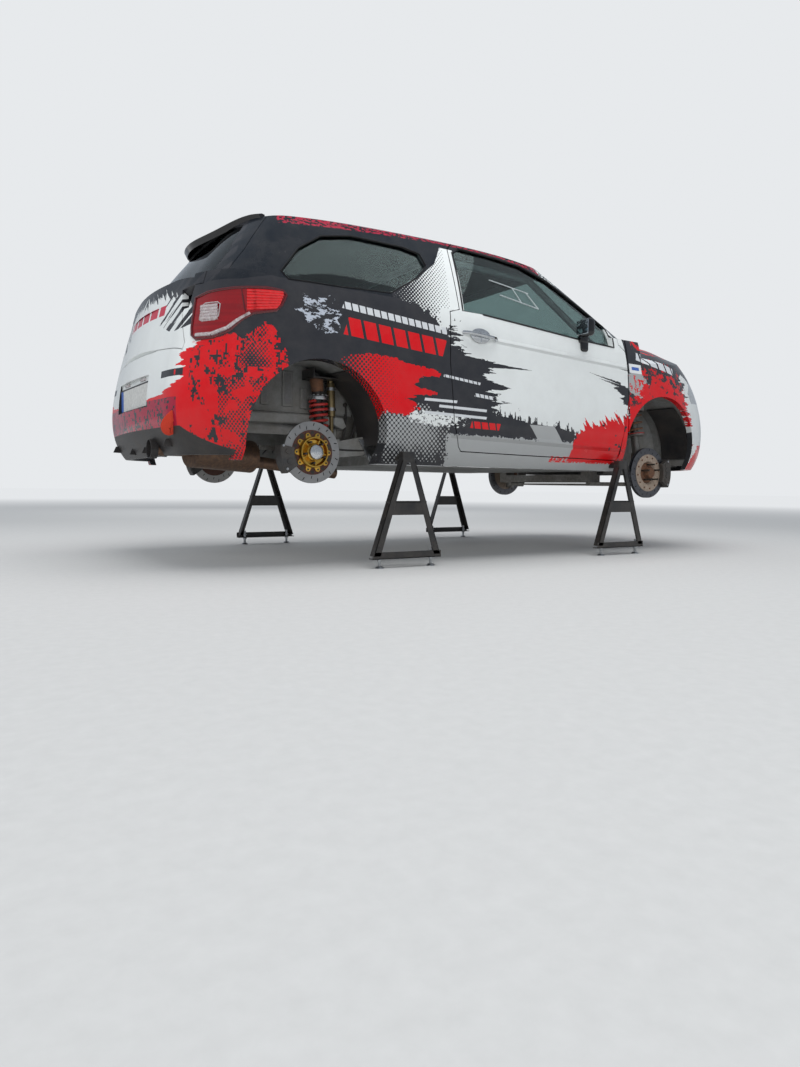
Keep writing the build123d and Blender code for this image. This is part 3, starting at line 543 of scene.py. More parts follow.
def painted_panels():
    material, g, shader = new_material("Wrapped panel", Coat_Roughness=0.05, Specular_IOR_Level=0.30)
    look = use(g, livery)
    cab_shade_mask = use(g, inner_side)["Mask"]
    dirt = use(g, grime, Amount=0.10, Size=9.0)["Mask"]
    base = g.mix(dirt, look["Color"], (0.20, 0.18, 0.16))
    # Faces that look into the cab are painted near-black: painted shade inside the cab, in place of the panels'
    # own paint there.
    g.feed(shader.inputs["Base Color"], g.mix(cab_shade_mask, base, (0.030, 0.031, 0.034)))
    g.feed(shader.inputs["Roughness"], g.scaled(dirt, 0.5, g.scaled(cab_shade_mask, 0.4, look["Roughness"])))
    g.feed(shader.inputs["Coat Weight"], g.scaled(cab_shade_mask, -PANEL_COAT, PANEL_COAT))
    # The crease through the handle and the ridge along the sill catch the light
    _, x, _, z = g.place()
    x = g.add(x, SHIFT)
    up = g.sub(z, LIFT)
    height = 0.0
    for start, end, z0, z1, wide in ((-.20, .86, .868, .823, .016), (-.50, .86, .352, .322, .020)):
        level = g.scaled(g.sub(x, start), (z0 - z1) / (end - start), g.sub(up, z0))
        fold = g.math("SUBTRACT", 1.0, g.math("DIVIDE", g.math("ABSOLUTE", level), wide), clamp=True)
        height = g.add(height, g.both(fold, g.within(x, start, end)))
    g.feed(shader.inputs["Normal"], g.bump(height, 0.010))
    return material


panel = painted_panels()
dress("body_sides front_wings roof_panel front_bumper rear_bumper tailgate bonnet door_right door_left", panel)

black_plastic = coated("Black moulded plastic", (0.018, 0.018, 0.020), 0.45, 0.25, pits=0.0004, size=400.0)
gloss_black = coated("Gloss black", (0.004, 0.004, 0.006), 0.14, 0.05, coat=0.25)
inner_grey = coated("Seam-sealed inner metal", (0.24, 0.245, 0.24), 0.55, 0.8, dust=(0.13, 0.115, 0.095),
                    pits=0.002, size=25.0)
steel = coated("Bare dusty steel", (0.30, 0.29, 0.27), 0.45, 0.6, metal=0.9, pits=0.0006)
disc_iron = coated("Swept disc face", (0.42, 0.41, 0.40), 0.36, 0.25, dust=(0.10, 0.075, 0.06), metal=1.0,
                   pits=0.0002, size=180.0)
rust = coated("Rusty steel", (0.20, 0.085, 0.035), 0.75, 0.5, dust=(0.10, 0.07, 0.05), pits=0.0012,
              second=(0.09, 0.045, 0.03))
hot_steel = coated("Heat-browned exhaust", (0.26, 0.15, 0.09), 0.42, 0.4, metal=0.8, pits=0.0004,
                   second=(0.14, 0.09, 0.07))
red_enamel = coated("Red spring enamel", (0.42, 0.012, 0.012), 0.35, 0.3, coat=0.3)
brass = coated("Brassy damper body", (0.34, 0.26, 0.13), 0.38, 0.4, metal=0.9)
cage_paint = coated("Cage enamel", (0.42, 0.43, 0.44), 0.32, 0.1, coat=0.3)
stand_paint = coated("Black stand enamel", (0.012, 0.012, 0.013), 0.35, 0.3, coat=0.2, pits=0.0002)
seat_cloth = coated("Seat cloth", (0.020, 0.020, 0.022), 0.9, 0.15, pits=0.0008, size=900.0)
engine_metal = coated("Cast engine metal", (0.22, 0.22, 0.22), 0.55, 0.6, metal=0.8, pits=0.0008)
plate_white = coated("Plate face", (0.70, 0.70, 0.67), 0.35, 0.2)

dress("scuttle_panel rear_diffuser mirror_right mirror_left dashboard steering_wheel", black_plastic)
dress("front_caliper_right front_caliper_left rear_calipers", black_plastic)
dress("roof_spoiler", gloss_black)
dress("floor_pan rear_arms", inner_grey)
dress("front_subframe strut_right strut_left", steel)
dress("front_hub_right front_hub_left rear_hub_right rear_hub_left", disc_iron)
dress("front_spring_right front_spring_left", rust)
dress("exhaust", hot_steel)
dress("rear_springs", red_enamel)
dress("rear_dampers", brass)
dress("roll_cage", cage_paint)
dress("stands", stand_paint)
dress("seats", seat_cloth)
dress("engine_block", engine_metal)
dress("number_plate", plate_white)


def clear_glass(name, tint):
    return new_material(name, Base_Color=tint, Roughness=0.0, Metallic=0.0, IOR=1.45,
                        Transmission_Weight=1.0)[0]


window_glass = clear_glass("Green-tinted glass", (0.36, 0.46, 0.45))
dark_glass = clear_glass("Dark rear glass", (0.08, 0.11, 0.13))
dress("windscreen door_glass_right door_glass_left quarter_glass", window_glass)
dress("tailgate_glass", dark_glass)


def lamp_red():
    material, g, shader = new_material("Red lamp lens", Coat_Weight=0.5, Coat_Roughness=0.02, Roughness=0.12)
    ribs = g.noise(g.stretched(g.place()[0], (1.0, 1.0, 60.0)), 1.0, 1.0)
    g.feed(shader.inputs["Base Color"], g.mix(ribs, (0.30, 0.001, 0.004), (0.15, 0.001, 0.003)))
    return material


dress("tail_lamps", lamp_red())
dress("headlamps", coated("Clear lamp unit", (0.55, 0.57, 0.58), 0.12, 0.1, metal=0.3, coat=1.0))


# Modelling helpers
# Lengths are millimetres over the road, x = 0 midway between the axles, as on the drawing.

PLACE = Matrix.Translation((-SHIFT, 0, LIFT)) @ Matrix.Scale(0.001, 4)
BACK = PLACE.inverted()


def search(*names):
    """Search tree over the faces of these nodes, in drawing millimetres."""
    corners, faces = [], []
    for name in names:
        mesh = nodes[name].data
        first = len(corners)
        corners += [BACK @ v.co for v in mesh.vertices]
        faces += [[first + k for k in face.vertices] for face in mesh.polygons]
    return BVHTree.FromPolygons(corners, faces)


def laid(tree, points, along, out=0.0):
    """Points moved along a direction until they lie on the faces, and out from there by a distance."""
    along = Vector(along).normalized()
    result = []
    for point in points:
        spot, normal = tree.ray_cast(Vector(point) - along * 1500, along)[:2]
        if spot is not None:
            if normal.dot(along) > 0:
                normal = -normal
            result.append(spot + normal * out)
    return result


def filled(points, step=25.0, closed=True):
    """More points on the straight runs between these."""
    result = []
    ends = points[1:] + points[:1] if closed else points[1:]
    for a, b in zip(points, ends):
        a, b = Vector(a), Vector(b)
        count = max(1, round((b - a).length / step))
        result += [a.lerp(b, k / count) for k in range(count)]
    return result if closed else result + [Vector(points[-1])]


TURN = {"X": Matrix(((0, 0, 1, 0), (1, 0, 0, 0), (0, 1, 0, 0), (0, 0, 0, 1))),
        "Y": Matrix(((1, 0, 0, 0), (0, 0, 1, 0), (0, 1, 0, 0), (0, 0, 0, 1))), "Z": Matrix()}


def soften(part, edge, segments):
    if edge:
        bmesh.ops.recalc_face_normals(part, faces=part.faces)
        edges = [e for e in part.edges if e.calc_face_angle(0.0) > 0.6]
        bmesh.ops.bevel(part, geom=edges, offset=edge, affect="EDGES", segments=segments, profile=0.5,
                        material=-1, clamp_overlap=True)


class Form:
    """A piece being modelled. Each call adds a shape in the material number that is set."""

    def __init__(self):
        self.mesh = bmesh.new()
        self.number = 0

    def _join(self, part, turn=None):
        if turn is not None:
            bmesh.ops.transform(part, matrix=turn, verts=part.verts)
        for face in part.faces:
            face.material_index = self.number
        data = bpy.data.meshes.new("part")
        part.to_mesh(data)
        part.free()
        self.mesh.from_mesh(data)
        bpy.data.meshes.remove(data)

    def slab(self, lo, hi, edge=0.0, segments=2, turn=None):
        """Box from one corner to the other."""
        part = bmesh.new()
        lo, hi = Vector(lo), Vector(hi)
        shape = Matrix.Translation((lo + hi) / 2) @ Matrix.Diagonal((*(hi - lo), 1))
        bmesh.ops.create_cube(part, size=1.0, matrix=shape)
        soften(part, edge, segments)
        self._join(part, turn)

    def bar(self, a, b, radius, end=None, sides=20, edge=0.0):
        """Round bar or cone from one point to another."""
        part = bmesh.new()
        a, b = Vector(a), Vector(b)
        shape = Matrix.Translation((a + b) / 2) @ (b - a).to_track_quat("Z", "Y").to_matrix().to_4x4()
        bmesh.ops.create_cone(part, cap_ends=True, segments=sides, radius1=radius,
                              radius2=radius if end is None else end, depth=(b - a).length, matrix=shape)
        soften(part, edge, 2)
        self._join(part)

    def lathe(self, rows, centre, axis, steps=48, sweep=360.0, start=0.0):
        """Section of (radius, distance along the axis) turned about X, Y or Z."""
        part = bmesh.new()
        whole = abs(sweep) >= 360
        closed = rows[0] == rows[-1]
        verts = [part.verts.new((r, 0, h)) for r, h in (rows[:-1] if closed else rows)]
        edges = [part.edges.new(pair) for pair in zip(verts, verts[1:] + verts[:1] if closed else verts[1:])]
        geom = verts + edges
        if closed and not whole:
            geom.append(part.faces.new(verts))
        first = Matrix.Rotation(math.radians(start), 3, "Z")
        bmesh.ops.rotate(part, cent=(0, 0, 0), matrix=first, verts=verts)
        bmesh.ops.spin(part, geom=geom, cent=(0, 0, 0), axis=(0, 0, 1), angle=math.radians(sweep),
                       steps=steps, use_merge=whole)
        bmesh.ops.remove_doubles(part, verts=part.verts, dist=0.001)
        self._join(part, Matrix.Translation(centre) @ TURN[axis])

    def prism(self, outline, depth, edge=0.0, segments=2):
        """Flat outline of points, drawn out by a vector."""
        part = bmesh.new()
        face = part.faces.new([part.verts.new(p) for p in outline])
        made = bmesh.ops.extrude_face_region(part, geom=[face], use_keep_orig=True)["geom"]
        bmesh.ops.translate(part, verts=[g for g in made if isinstance(g, bmesh.types.BMVert)], vec=depth)
        soften(part, edge, segments)
        self._join(part)

    def sweep(self, points, radius, closed=False, smooth=False, sides=3, width=0.0):
        """Round or flat strip along a line of points."""
        line = bpy.data.curves.new("line", "CURVE")
        line.dimensions = "3D"
        line.bevel_depth = radius
        line.bevel_resolution = sides
        line.extrude = width
        line.use_fill_caps = True
        spline = line.splines.new("NURBS" if smooth else "POLY")
        spline.points.add(len(points) - 1)
        for knot, point in zip(spline.points, points):
            knot.co = (*point, 1)
        spline.use_cyclic_u = closed
        if smooth:
            spline.order_u = 3
            spline.use_endpoint_u = True
            spline.resolution_u = 6
        holder = bpy.data.objects.new("line", line)
        made = bpy.data.meshes.new_from_object(holder)
        part = bmesh.new()
        part.from_mesh(made)
        bpy.data.objects.remove(holder)
        bpy.data.curves.remove(line)
        bpy.data.meshes.remove(made)
        bmesh.ops.remove_doubles(part, verts=part.verts, dist=0.001)
        self._join(part)

    def bolts(self, centre, y, reach, angles, length, radius, sides=12, edge=0.0):
        """Short bars round a wheel's axis, from y outwards by a length."""
        for degrees in angles:
            spot = polar(*centre, y, reach, degrees)
            self.bar(spot, spot + Vector((0, length, 0)), radius, sides=sides, edge=edge)

    def helix(self, low, high, radius, wire, turns):
        """Coil spring between two points, with its end turns closed up."""
        low, high = Vector(low), Vector(high)
        axis = (high - low).normalized()
        u = axis.orthogonal().normalized()
        w = axis.cross(u)
        points = []
        count = round(turns * 12)
        for k in range(count + 1):
            share = k / count
            eased = share * share * (3 - 2 * share) * CLOSED_UP + share * (1 - CLOSED_UP)
            rise = wire + ((high - low).length - 2 * wire) * eased
            angle = 2 * math.pi * turns * share
            points.append(low + axis * rise + (u * math.cos(angle) + w * math.sin(angle)) * radius)
        self.sweep(points, wire, smooth=True, sides=2)

    def lean(self, x, y, z):
        """Leans what is there with the camber of the right-hand wheels about the middle of a disc's face."""
        bmesh.ops.rotate(self.mesh, cent=(x, y, z), matrix=Matrix.Rotation(math.radians(-CAMBER), 3, "X"),
                         verts=self.mesh.verts)

    def double(self):
        """Adds the other side of the car."""
        mesh = self.mesh
        geom = mesh.verts[:] + mesh.edges[:] + mesh.faces[:]
        bmesh.ops.mirror(mesh, geom=geom, matrix=Matrix(), merge_dist=-1.0, axis="Y")

    def finish(self, name, body, slot, *materials, replaces=(), other=False):
        """Sets the piece in the frame, on the other side of the car if asked, and on its body."""
        mesh = self.mesh
        if other:
            bmesh.ops.scale(mesh, vec=(1, -1, 1), verts=mesh.verts)
        bmesh.ops.recalc_face_normals(mesh, faces=mesh.faces)
        bmesh.ops.transform(mesh, matrix=PLACE, verts=mesh.verts)
        for face in mesh.faces:
            face.smooth = True
        data = bpy.data.meshes.new(name)
        mesh.to_mesh(data)
        mesh.free()
        data.set_sharp_from_angle(angle=math.radians(SHARP))
        for material in materials:
            data.materials.append(material)
        made = bpy.data.objects.new(name, data)
        bpy.context.scene.collection.objects.link(made)
        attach(made, body)
        if replaces:
            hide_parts(*replaces)
        return made


def polar(x, z, y, radius, degrees):
    """Point round a wheel's axis, 0 degrees forwards and 90 up."""
    turn = math.radians(degrees)
    return Vector((x + radius * math.cos(turn), y, z + radius * math.sin(turn)))


SIDES = (("right", False), ("left", True))
FRONT_AXLE = (1232, 185)        # x, z of the hubs as they hang
REAR_AXLE = (-1232, 237)
FRONT_FACE, REAR_FACE = -718, -690      # y of the discs' outer faces
STEERING = Vector((180, 400, 800))      # middle of the steering wheel
CAMBER = 1.0            # degrees
SHARP = 35.0            # degrees between faces that show an edge
CLOSED_UP = 0.24        # share of a spring's length that its end turns give up


# Wheel ends

def slotted_iron(name, x, z, inner, outer, tint):
    """Swept disc face with short slanting slots, painted near-black as painted shade in the grooves, and fine
    rings of wear.
    """
    material, g, shader = new_material(name, Metallic=1.0)
    where, px, _, pz = g.place()
    dx = g.sub(px, x * 0.001 - SHIFT)
    dz = g.sub(pz, z * 0.001 + LIFT)
    reach = g.math("SQRT", g.add(g.mul(dx, dx), g.mul(dz, dz)))
    angle = g.math("ARCTAN2", dz, dx)
    share = g.math("DIVIDE", g.sub(reach, inner), outer - inner)
    cell = g.math("MULTIPLY", g.scaled(share, 0.10, angle), 22 / (2 * math.pi))
    lane = g.math("MODULO", g.math("FLOOR", g.add(cell, 44.0)), 2.0)
    off = g.math("ABSOLUTE", g.sub(g.math("FRACT", g.add(cell, 44.0)), 0.5))
    deep = g.math("ABSOLUTE", g.sub(share, g.scaled(lane, 0.36, 0.33)))
    slot = g.both(g.over(0.055, off), g.over(0.17, deep))
    rings = g.noise(g.vector(g.mul(reach, 900.0), 0.0), 1.0, 2.0)
    stain = g.noise(where, 28.0, 4.0, 0.6)
    base = g.mix(stain, tuple(c * 0.62 for c in tint), tint)
    # The slots are painted near-black: painted shade in the grooves, which the bump only dents slightly.
    g.feed(shader.inputs["Base Color"], g.mix(slot, base, (0.02, 0.018, 0.016)))
    g.feed(shader.inputs["Roughness"], g.scaled(rings, 0.18, 0.30))
    g.feed(shader.inputs["Normal"], g.bump(g.add(g.mul(rings, 0.15), g.mul(slot, -1.0)), 0.0006))
    return material


rear_face = slotted_iron("Slotted rear disc", *REAR_AXLE, 0.106, 0.150, (0.46, 0.45, 0.44))
front_face = slotted_iron("Slotted front disc", *FRONT_AXLE, 0.121, 0.165, (0.17, 0.17, 0.18))
brown_ring = coated("Heat-browned disc ring", (0.12, 0.052, 0.040), 0.55, 0.2, metal=0.5, pits=0.0004)
gold = coated("Gold anodised carrier", (0.72, 0.46, 0.10), 0.30, 0.12, dust=(0.20, 0.15, 0.07), metal=1.0,
              second=(0.62, 0.36, 0.06))
cap_silver = coated("Bright hub cap", (0.72, 0.74, 0.76), 0.26, 0.05, metal=1.0, pits=0.0005, size=120.0)
bell_beige = coated("Dusty beige bell ring", (0.46, 0.36, 0.28), 0.55, 0.25, metal=0.3)
dark_steel = coated("Dark oiled steel", (0.05, 0.048, 0.045), 0.42, 0.4, metal=0.6, pits=0.0006)
zinc = coated("Zinc plating", (0.55, 0.56, 0.57), 0.34, 0.15, metal=1.0)
caliper_grey = coated("Sooty caliper casting", (0.060, 0.060, 0.062), 0.55, 0.6, metal=0.4, pits=0.0012)

# One of the ten lobes round the rear carrier: degrees, radius
LOBE = [(-18, 73), (-11, 78), (-7.5, 91), (-4, 96), (0, 97.5), (4, 96), (7.5, 91), (11, 78)]

for side, other in SIDES:
    x, z = REAR_AXLE
    form = Form()
    form.lathe([(150, -678), (150, -683), (149, -683), (149, -685), (150, -685), (150, -690), (104, -690),
                (104, -678), (150, -678)], (x, 0, z), "Y", 96)
    form.number = 1
    form.lathe([(109, -686), (109, -692), (72, -693), (66, -686), (66, -680), (109, -680), (109, -686)],
               (x, 0, z), "Y", 72)
    form.number = 2
    lobes = []
    for k in range(10):
        for turn, reach in LOBE:
            lobes.append(polar(x, z, -692, reach, 36 * k + turn))
    form.prism(lobes, (0, -7, 0), 1.2)
    form.lathe([(76, -698), (75, -716), (72, -721), (67, -721), (64, -716), (60, -702), (44, -700), (42, -722),
                (38, -726), (30, -726), (30, -698), (76, -698)], (x, 0, z), "Y", 72)
    for k in range(5):
        across = Matrix.Translation((x, 0, z)) @ Matrix.Rotation(math.radians(72 * k + 10), 4, "Y")
        form.slab((40, -714, -3.5), (70, -700, 3.5), 1.0, 1, across)
    form.number = 3
    form.lathe([(36, -722), (37, -734), (35, -742), (28, -748), (14, -751), (0, -752)], (x, 0, z), "Y", 48)
    form.number = 4
    form.bolts(REAR_AXLE, -692, 88, range(0, 360, 36), -9.5, 4.6)
    for k in range(10):
        form.bolts(REAR_AXLE, -692.6, 96, [36 * k + 18], -0.8, 9.0 if k % 3 else 12.0, 20)
    form.bolts(REAR_AXLE, -702, 53, range(46, 406, 72), -30, 5.5, edge=1.0)
    form.bar((x, -700, z), (x, -600, z), 30, sides=32)
    form.bar((x, -684, z), (x, -680, z), 70, sides=48)
    form.lean(x, REAR_FACE, z)
    form.finish("rear_hub_detail_" + side, "hub_rear_" + side, "disc", rear_face, brown_ring, gold,
                cap_silver, dark_steel, replaces=["rear_hub_" + side], other=other)

    x, z = FRONT_AXLE
    form = Form()
    for front, back in ((-718, -710), (-702, -694)):
        form.lathe([(165, back), (165, front + 0.8), (164, front), (118, front), (118, back), (165, back)],
                   (x, 0, z), "Y", 96)
    for k in range(44):
        across = Matrix.Translation((x, 0, z)) @ Matrix.Rotation(2 * math.pi * k / 44, 4, "Y")
        form.slab((122, -710.5, -2.0), (164, -701.5, 2.0), turn=across)
    form.number = 1
    form.lathe([(122, -716), (122, -720), (78, -721), (72, -716), (66, -700), (62, -696), (62, -690),
                (80, -694), (118, -700), (122, -716)], (x, 0, z), "Y", 72)
    form.number = 2
    form.bolts(FRONT_AXLE, -719.5, 104, range(8, 368, 30), -4.5, 5.6, 6)
    form.lathe([(66, -696), (66, -706), (60, -709), (38, -712), (36, -740), (32, -746), (20, -748),
                (0, -748)], (x, 0, z), "Y", 48)
    form.bar((x, -700, z), (x, -590, z), 30, sides=32)
    form.number = 3
    form.bolts(FRONT_AXLE, -706, 54, range(20, 380, 72), -66, 5.8, edge=1.2)
    form.lean(x, FRONT_FACE, z)
    form.finish("front_hub_detail_" + side, "hub_front_" + side, "disc", front_face, bell_beige, rust,
                dark_steel, replaces=["front_hub_" + side], other=other)

    # Calipers straddle the discs
    form = Form()
    grip = [(116, -750), (120, -754), (190, -754), (196, -748), (196, -668), (190, -662), (116, -662),
            (116, -690), (170, -690), (170, -722), (116, -722), (116, -750)]
    form.lathe(grip, (x, 0, z), "Y", 20, 58.0, -29.0)
    for turn, reach in ((-20, 150), (-7, 150), (7, 150), (20, 150)):
        spot = polar(x, z, -752, reach, turn)
        form.bar(spot, spot + Vector((0, -6, 0)), 15, 13, sides=24)
    form.slab((1262, -690, 130), (1352, -662, 240), 3)
    form.number = 1
    form.bolts(FRONT_AXLE, -757, 176, (-26, 26), 14, 7, 6)
    form.lean(x, FRONT_FACE, z)
    form.finish("front_caliper_detail_" + side, "upright_" + side, "black_plastic", caliper_grey, zinc,
                replaces=["front_caliper_" + side], other=other)

    # Front springs stand on the struts, which lean in
    foot, top = Vector((1236, -648, 100)), Vector((1218, -556, 795))
    king = (top - foot).normalized()
    form = Form()

    def on_king(height):
        return foot + king * ((height - 100) / king.z)

    form.helix(on_king(446), on_king(714), 54, 6.5, 6.0)
    form.number = 1
    form.bar(on_king(440), on_king(447), 66, sides=40, edge=1.5)
    form.number = 2
    for k in range(7):
        form.bar(on_king(560 + 22 * k), on_king(578 + 22 * k), 33, 25, sides=32)
    form.finish("front_spring_detail_" + side, "upright_" + side, "rust_spring", rust, red_enamel,
                black_plastic, replaces=["front_spring_" + side], other=other)

x, z = REAR_AXLE
form = Form()
grip = [(106, -716), (110, -720), (172, -720), (178, -714), (178, -648), (172, -642), (106, -642),
        (106, -668), (158, -668), (158, -698), (106, -698), (106, -716)]
form.lathe(grip, (x, 0, z), "Y", 16, 46.0, 170.0)
for turn in (180, 200):
    spot = polar(x, z, -719, 142, turn)
    form.bar(spot, spot + Vector((0, -5, 0)), 14, 12, sides=24)
form.bar(polar(x, z, -664, 146, 176), polar(x, z, -640, 146, 176), 24, 20)
form.slab((-1360, -668, 200), (-1262, -642, 262), 3)
form.number = 1
form.bolts(REAR_AXLE, -724, 168, (171, 210), 24, 6.5, 6)
form.lean(x, REAR_FACE, z)
form.double()
form.finish("rear_caliper_detail", "chassis", "black_plastic", caliper_grey, zinc, replaces=["rear_calipers"])

# Rear springs: red coil, notched collar and browned sleeve up to a bracket
form = Form()
form.helix((-1134, -572, 330), (-1139, -572, 508), 44, 7.0, 6.5)
form.number = 1
form.lathe([(26, 506), (50, 506), (51, 510), (51, 522), (47, 527), (26, 527), (26, 506)], (-1139, -572, 0),
           "Z", 40)
for k in range(12):
    a = 2 * math.pi * k / 12
    notch = Matrix.Translation((-1139 + 43 * math.cos(a), -572 + 43 * math.sin(a), 0))
    form.slab((-5, -5, 526), (5, 5, 532), 1, 1, notch)
form.number = 2
form.bar((-1134, -572, 330), (-1145, -572, 560), 25, sides=32)
form.number = 3
form.bar((-1143, -572, 548), (-1150, -572, 612), 30, 35, sides=32, edge=2)
form.number = 4
form.slab((-1200, -640, 608), (-1060, -508, 616), 2)
form.slab((-1200, -640, 610), (-1192, -508, 655), 2)
form.slab((-1068, -640, 610), (-1060, -508, 655), 2)
form.lathe([(62, 326), (62, 331), (20, 333), (20, 326), (62, 326)], (-1134, -572, 0), "Z", 40)
form.double()
form.finish("rear_spring_detail", "chassis", "red_spring", red_enamel, zinc, dark_steel, rust, stand_paint,
            replaces=["rear_springs"])

# Remote damper canister, clamped to the inner wall
form = Form()
form.bar((-1055, -556, 430), (-1062, -556, 598), 21, sides=36, edge=2)
form.bar((-1062, -556, 596), (-1064, -556, 612), 15, sides=24, edge=2)
form.bar((-1055, -556, 312), (-1055, -556, 434), 11, sides=24)
form.number = 1
for height in (458, 560):
    middle = -1056 - 0.04 * (height - 450)
    form.lathe([(21.2, height), (24.5, height), (24.5, height + 16), (21.2, height + 16), (21.2, height)],
               (middle, -556, 0), "Z", 36)
    form.slab((middle - 9, -536, height), (middle + 9, -506, height + 16), 1.5)
form.double()
form.finish("damper_canister", "chassis", "brass", brass, zinc, replaces=["rear_dampers"])

# Wheelhouse: pressed ribs, seam, frame rail, liner, brake pipes and the arm's front bracket
form = Form()
for x0, x1, z0, z1 in ((-1303, -1259, 477, 640), (-1420, -1388, 478, 600), (-1205, -1180, 470, 560)):
    form.slab((x0 - 7, -516, z0 - 7), (x1 + 7, -506, z1 + 7), 5.0, 3)
    form.number = 1
    form.slab((x0 + 4, -517.5, z0 + 5), (x1 - 4, -514, z1 - 5), 1.6, 2)
    form.number = 0
form.slab((-1620, -514, 441), (-890, -506, 447), 1.5)
form.slab((-1620, -552, 384), (-1030, -504, 432), 9.0, 3)
form.prism([(-1032, -552, 430), (-1032, -552, 386), (-985, -552, 366), (-962, -552, 384), (-985, -552, 428)],
           (0, 46, 0), 6.0, 3)
form.number = 2
form.slab((-1000, -513, 300), (-890, -505, 440), 2.0)
form.double()
seam_paint = coated("Grey seam paint", (0.17, 0.175, 0.18), 0.5, 0.5, pits=0.001)
form.finish("wheelhouse_pressings", "chassis", "inner_grey", inner_grey, seam_paint, steel)

form = Form()
arch_rear, arch_front = (-1252, 308, 355), (1220, 300, 371)
for (x, z, arch), start, sweep, near in ((arch_rear, -4.0, 68.0, -812), (arch_front, 100.0, 66.0, -806),
                                         (arch_front, -2.0, 60.0, -760)):
    low, high = arch + 4.0, arch + 7.0
    form.lathe([(low, near), (high, near), (high, -540), (low, -540), (low, near)], (x, 0, z), "Y", 26,
               sweep, start)
form.double()
form.finish("arch_liners", "chassis", "black_plastic", black_plastic)

form = Form()
for x0, x1, drift in ((-951, -949, -8), (-910, -905, 6)):
    form.bar((x0, -518, 500), (x0, -504, 500), 11, sides=20, edge=2)
    form.number = 1
    form.sweep([(x0, -520, 500), (x0 + drift * .3, -530, 460), (x1 + drift, -532, 400), (x1 - 20, -534, 330),
                (x1 - 42, -540, 285), (x1 - 70, -556, 262)], 4.2, smooth=True)
    form.number = 0
for p in ((-951, 444), (-907, 444), (-880, 470)):
    form.slab((p[0] - 9, -514, p[1] - 6), (p[0] + 9, -506, p[1] + 6), 1.5)
form.number = 2
form.prism([(-925, -606, 318), (-790, -606, 310), (-800, -606, 262), (-822, -606, 212), (-846, -606, 200),
            (-868, -606, 214), (-890, -606, 262)], (0, -5, 0), 1.5)
form.bar((-846, -628, 226), (-846, -604, 226), 15, sides=6)
form.bar((-846, -619, 226), (-846, -611, 226), 21, sides=28)
form.number = 1
form.sweep([(-1285, -600, 250), (-1180, -606, 262), (-1060, -606, 262), (-960, -604, 258),
            (-880, -600, 262)], 4.0, smooth=True)
form.double()
form.finish("brake_pipes_and_arm_bracket", "chassis", "steel", dark_steel, black_plastic, zinc)


# Lamps, windows and handles

# Outline of a tail lamp: place along the lamp, height
TAIL_LAMP = [(-1433, 920), (-1379, 939), (-1245, 953), (-1117, 961), (-1039, 953), (-1022, 934),
             (-1044, 886), (-1071, 857), (-1172, 838), (-1218, 812), (-1281, 754), (-1354, 723),
             (-1429, 717), (-1450, 740), (-1451, 781), (-1442, 854)]
LAMP_VIEW = Vector((0.368, 0.930, 0))
LAMP_ALONG = Vector((0.930, -0.368, 0))


def on_lamp(outline, out):
    spots = [LAMP_ALONG * t + Vector((0, 0, z)) for t, z in outline]
    return laid(lamp_tree, filled(spots, 14.0), LAMP_VIEW, out)


def shrunk(outline, share):
    """Outline drawn in towards its middle."""
    middle = [sum(p[k] for p in outline) / len(outline) for k in (0, 1)]
    return [tuple(m + (v - m) * share for v, m in zip(p, middle)) for p in outline]


lamp_rim = coated("Dark red lamp rim", (0.10, 0.002, 0.004), 0.15, 0.0, coat=0.8)
lamp_clear = coated("Faceted reversing lens", (0.66, 0.64, 0.64), 0.16, 0.0, metal=0.25, pits=0.004,
                    size=90.0, coat=0.6, second=(0.40, 0.30, 0.30))
lamp_glow = coated("Bright red side lens", (0.72, 0.010, 0.012), 0.14, 0.0, coat=0.8,
                   second=(0.55, 0.004, 0.006))
rubber = coated("Window rubber", (0.008, 0.008, 0.009), 0.45, 0.05)
chrome = coated("Chromed handle", (0.74, 0.76, 0.78), 0.12, 0.05, metal=1.0)
mirror_glass = coated("Mirror glass", (0.50, 0.54, 0.58), 0.04, 0.0, metal=1.0)
rail_plastic = coated("Pale pane rail", (0.50, 0.55, 0.56), 0.25)
shell_cloth = coated("Seat shell cloth", (0.016, 0.016, 0.018), 0.85, 0.1, pits=0.0008, size=900.0)
pad_cloth = coated("Seat pad cloth", (0.035, 0.035, 0.038), 0.9, 0.1, pits=0.0010, size=700.0)
tow_webbing = coated("Orange-red tow webbing", (0.68, 0.045, 0.016), 0.75, 0.1, pits=0.0008, size=500.0)
lamp_tree = search("tail_lamps")
form = Form()
form.sweep(on_lamp(shrunk(TAIL_LAMP, 0.975), 0.5), 6.5, closed=True)
form.sweep(on_lamp([(-1226, 946), (-1222, 900), (-1210, 842)], 0.5)[:-1], 2.5)
form.number = 1
form.sweep(on_lamp([(-1412, 812), (-1400, 876), (-1384, 886), (-1330, 886), (-1320, 876), (-1328, 822),
                    (-1344, 806), (-1400, 804)], 0.5), 3.0, closed=True)
for row in range(5):
    form.sweep(on_lamp([(-1404, 815 + 14 * row), (-1328, 815 + 14 * row)], 0.0)[:-1], 8.5)
edge = [(-1428, 742), (-1360, 742), (-1290, 768), (-1240, 806), (-1190, 836)]
for ends in zip(edge, edge[1:]):
    form.sweep(on_lamp(list(ends), -2.0)[:-1], 10.0)
form.number = 2
for row in range(7):
    ends = [(-1204, 856 + 14 * row), (-1062 + 4 * row, 872 + 12 * row)]
    form.sweep(on_lamp(ends, -3.0)[:-1], 8.0)
form.double()
form.finish("tail_lamp_lenses", "chassis", "tail_lamp", lamp_rim, lamp_clear, lamp_glow)

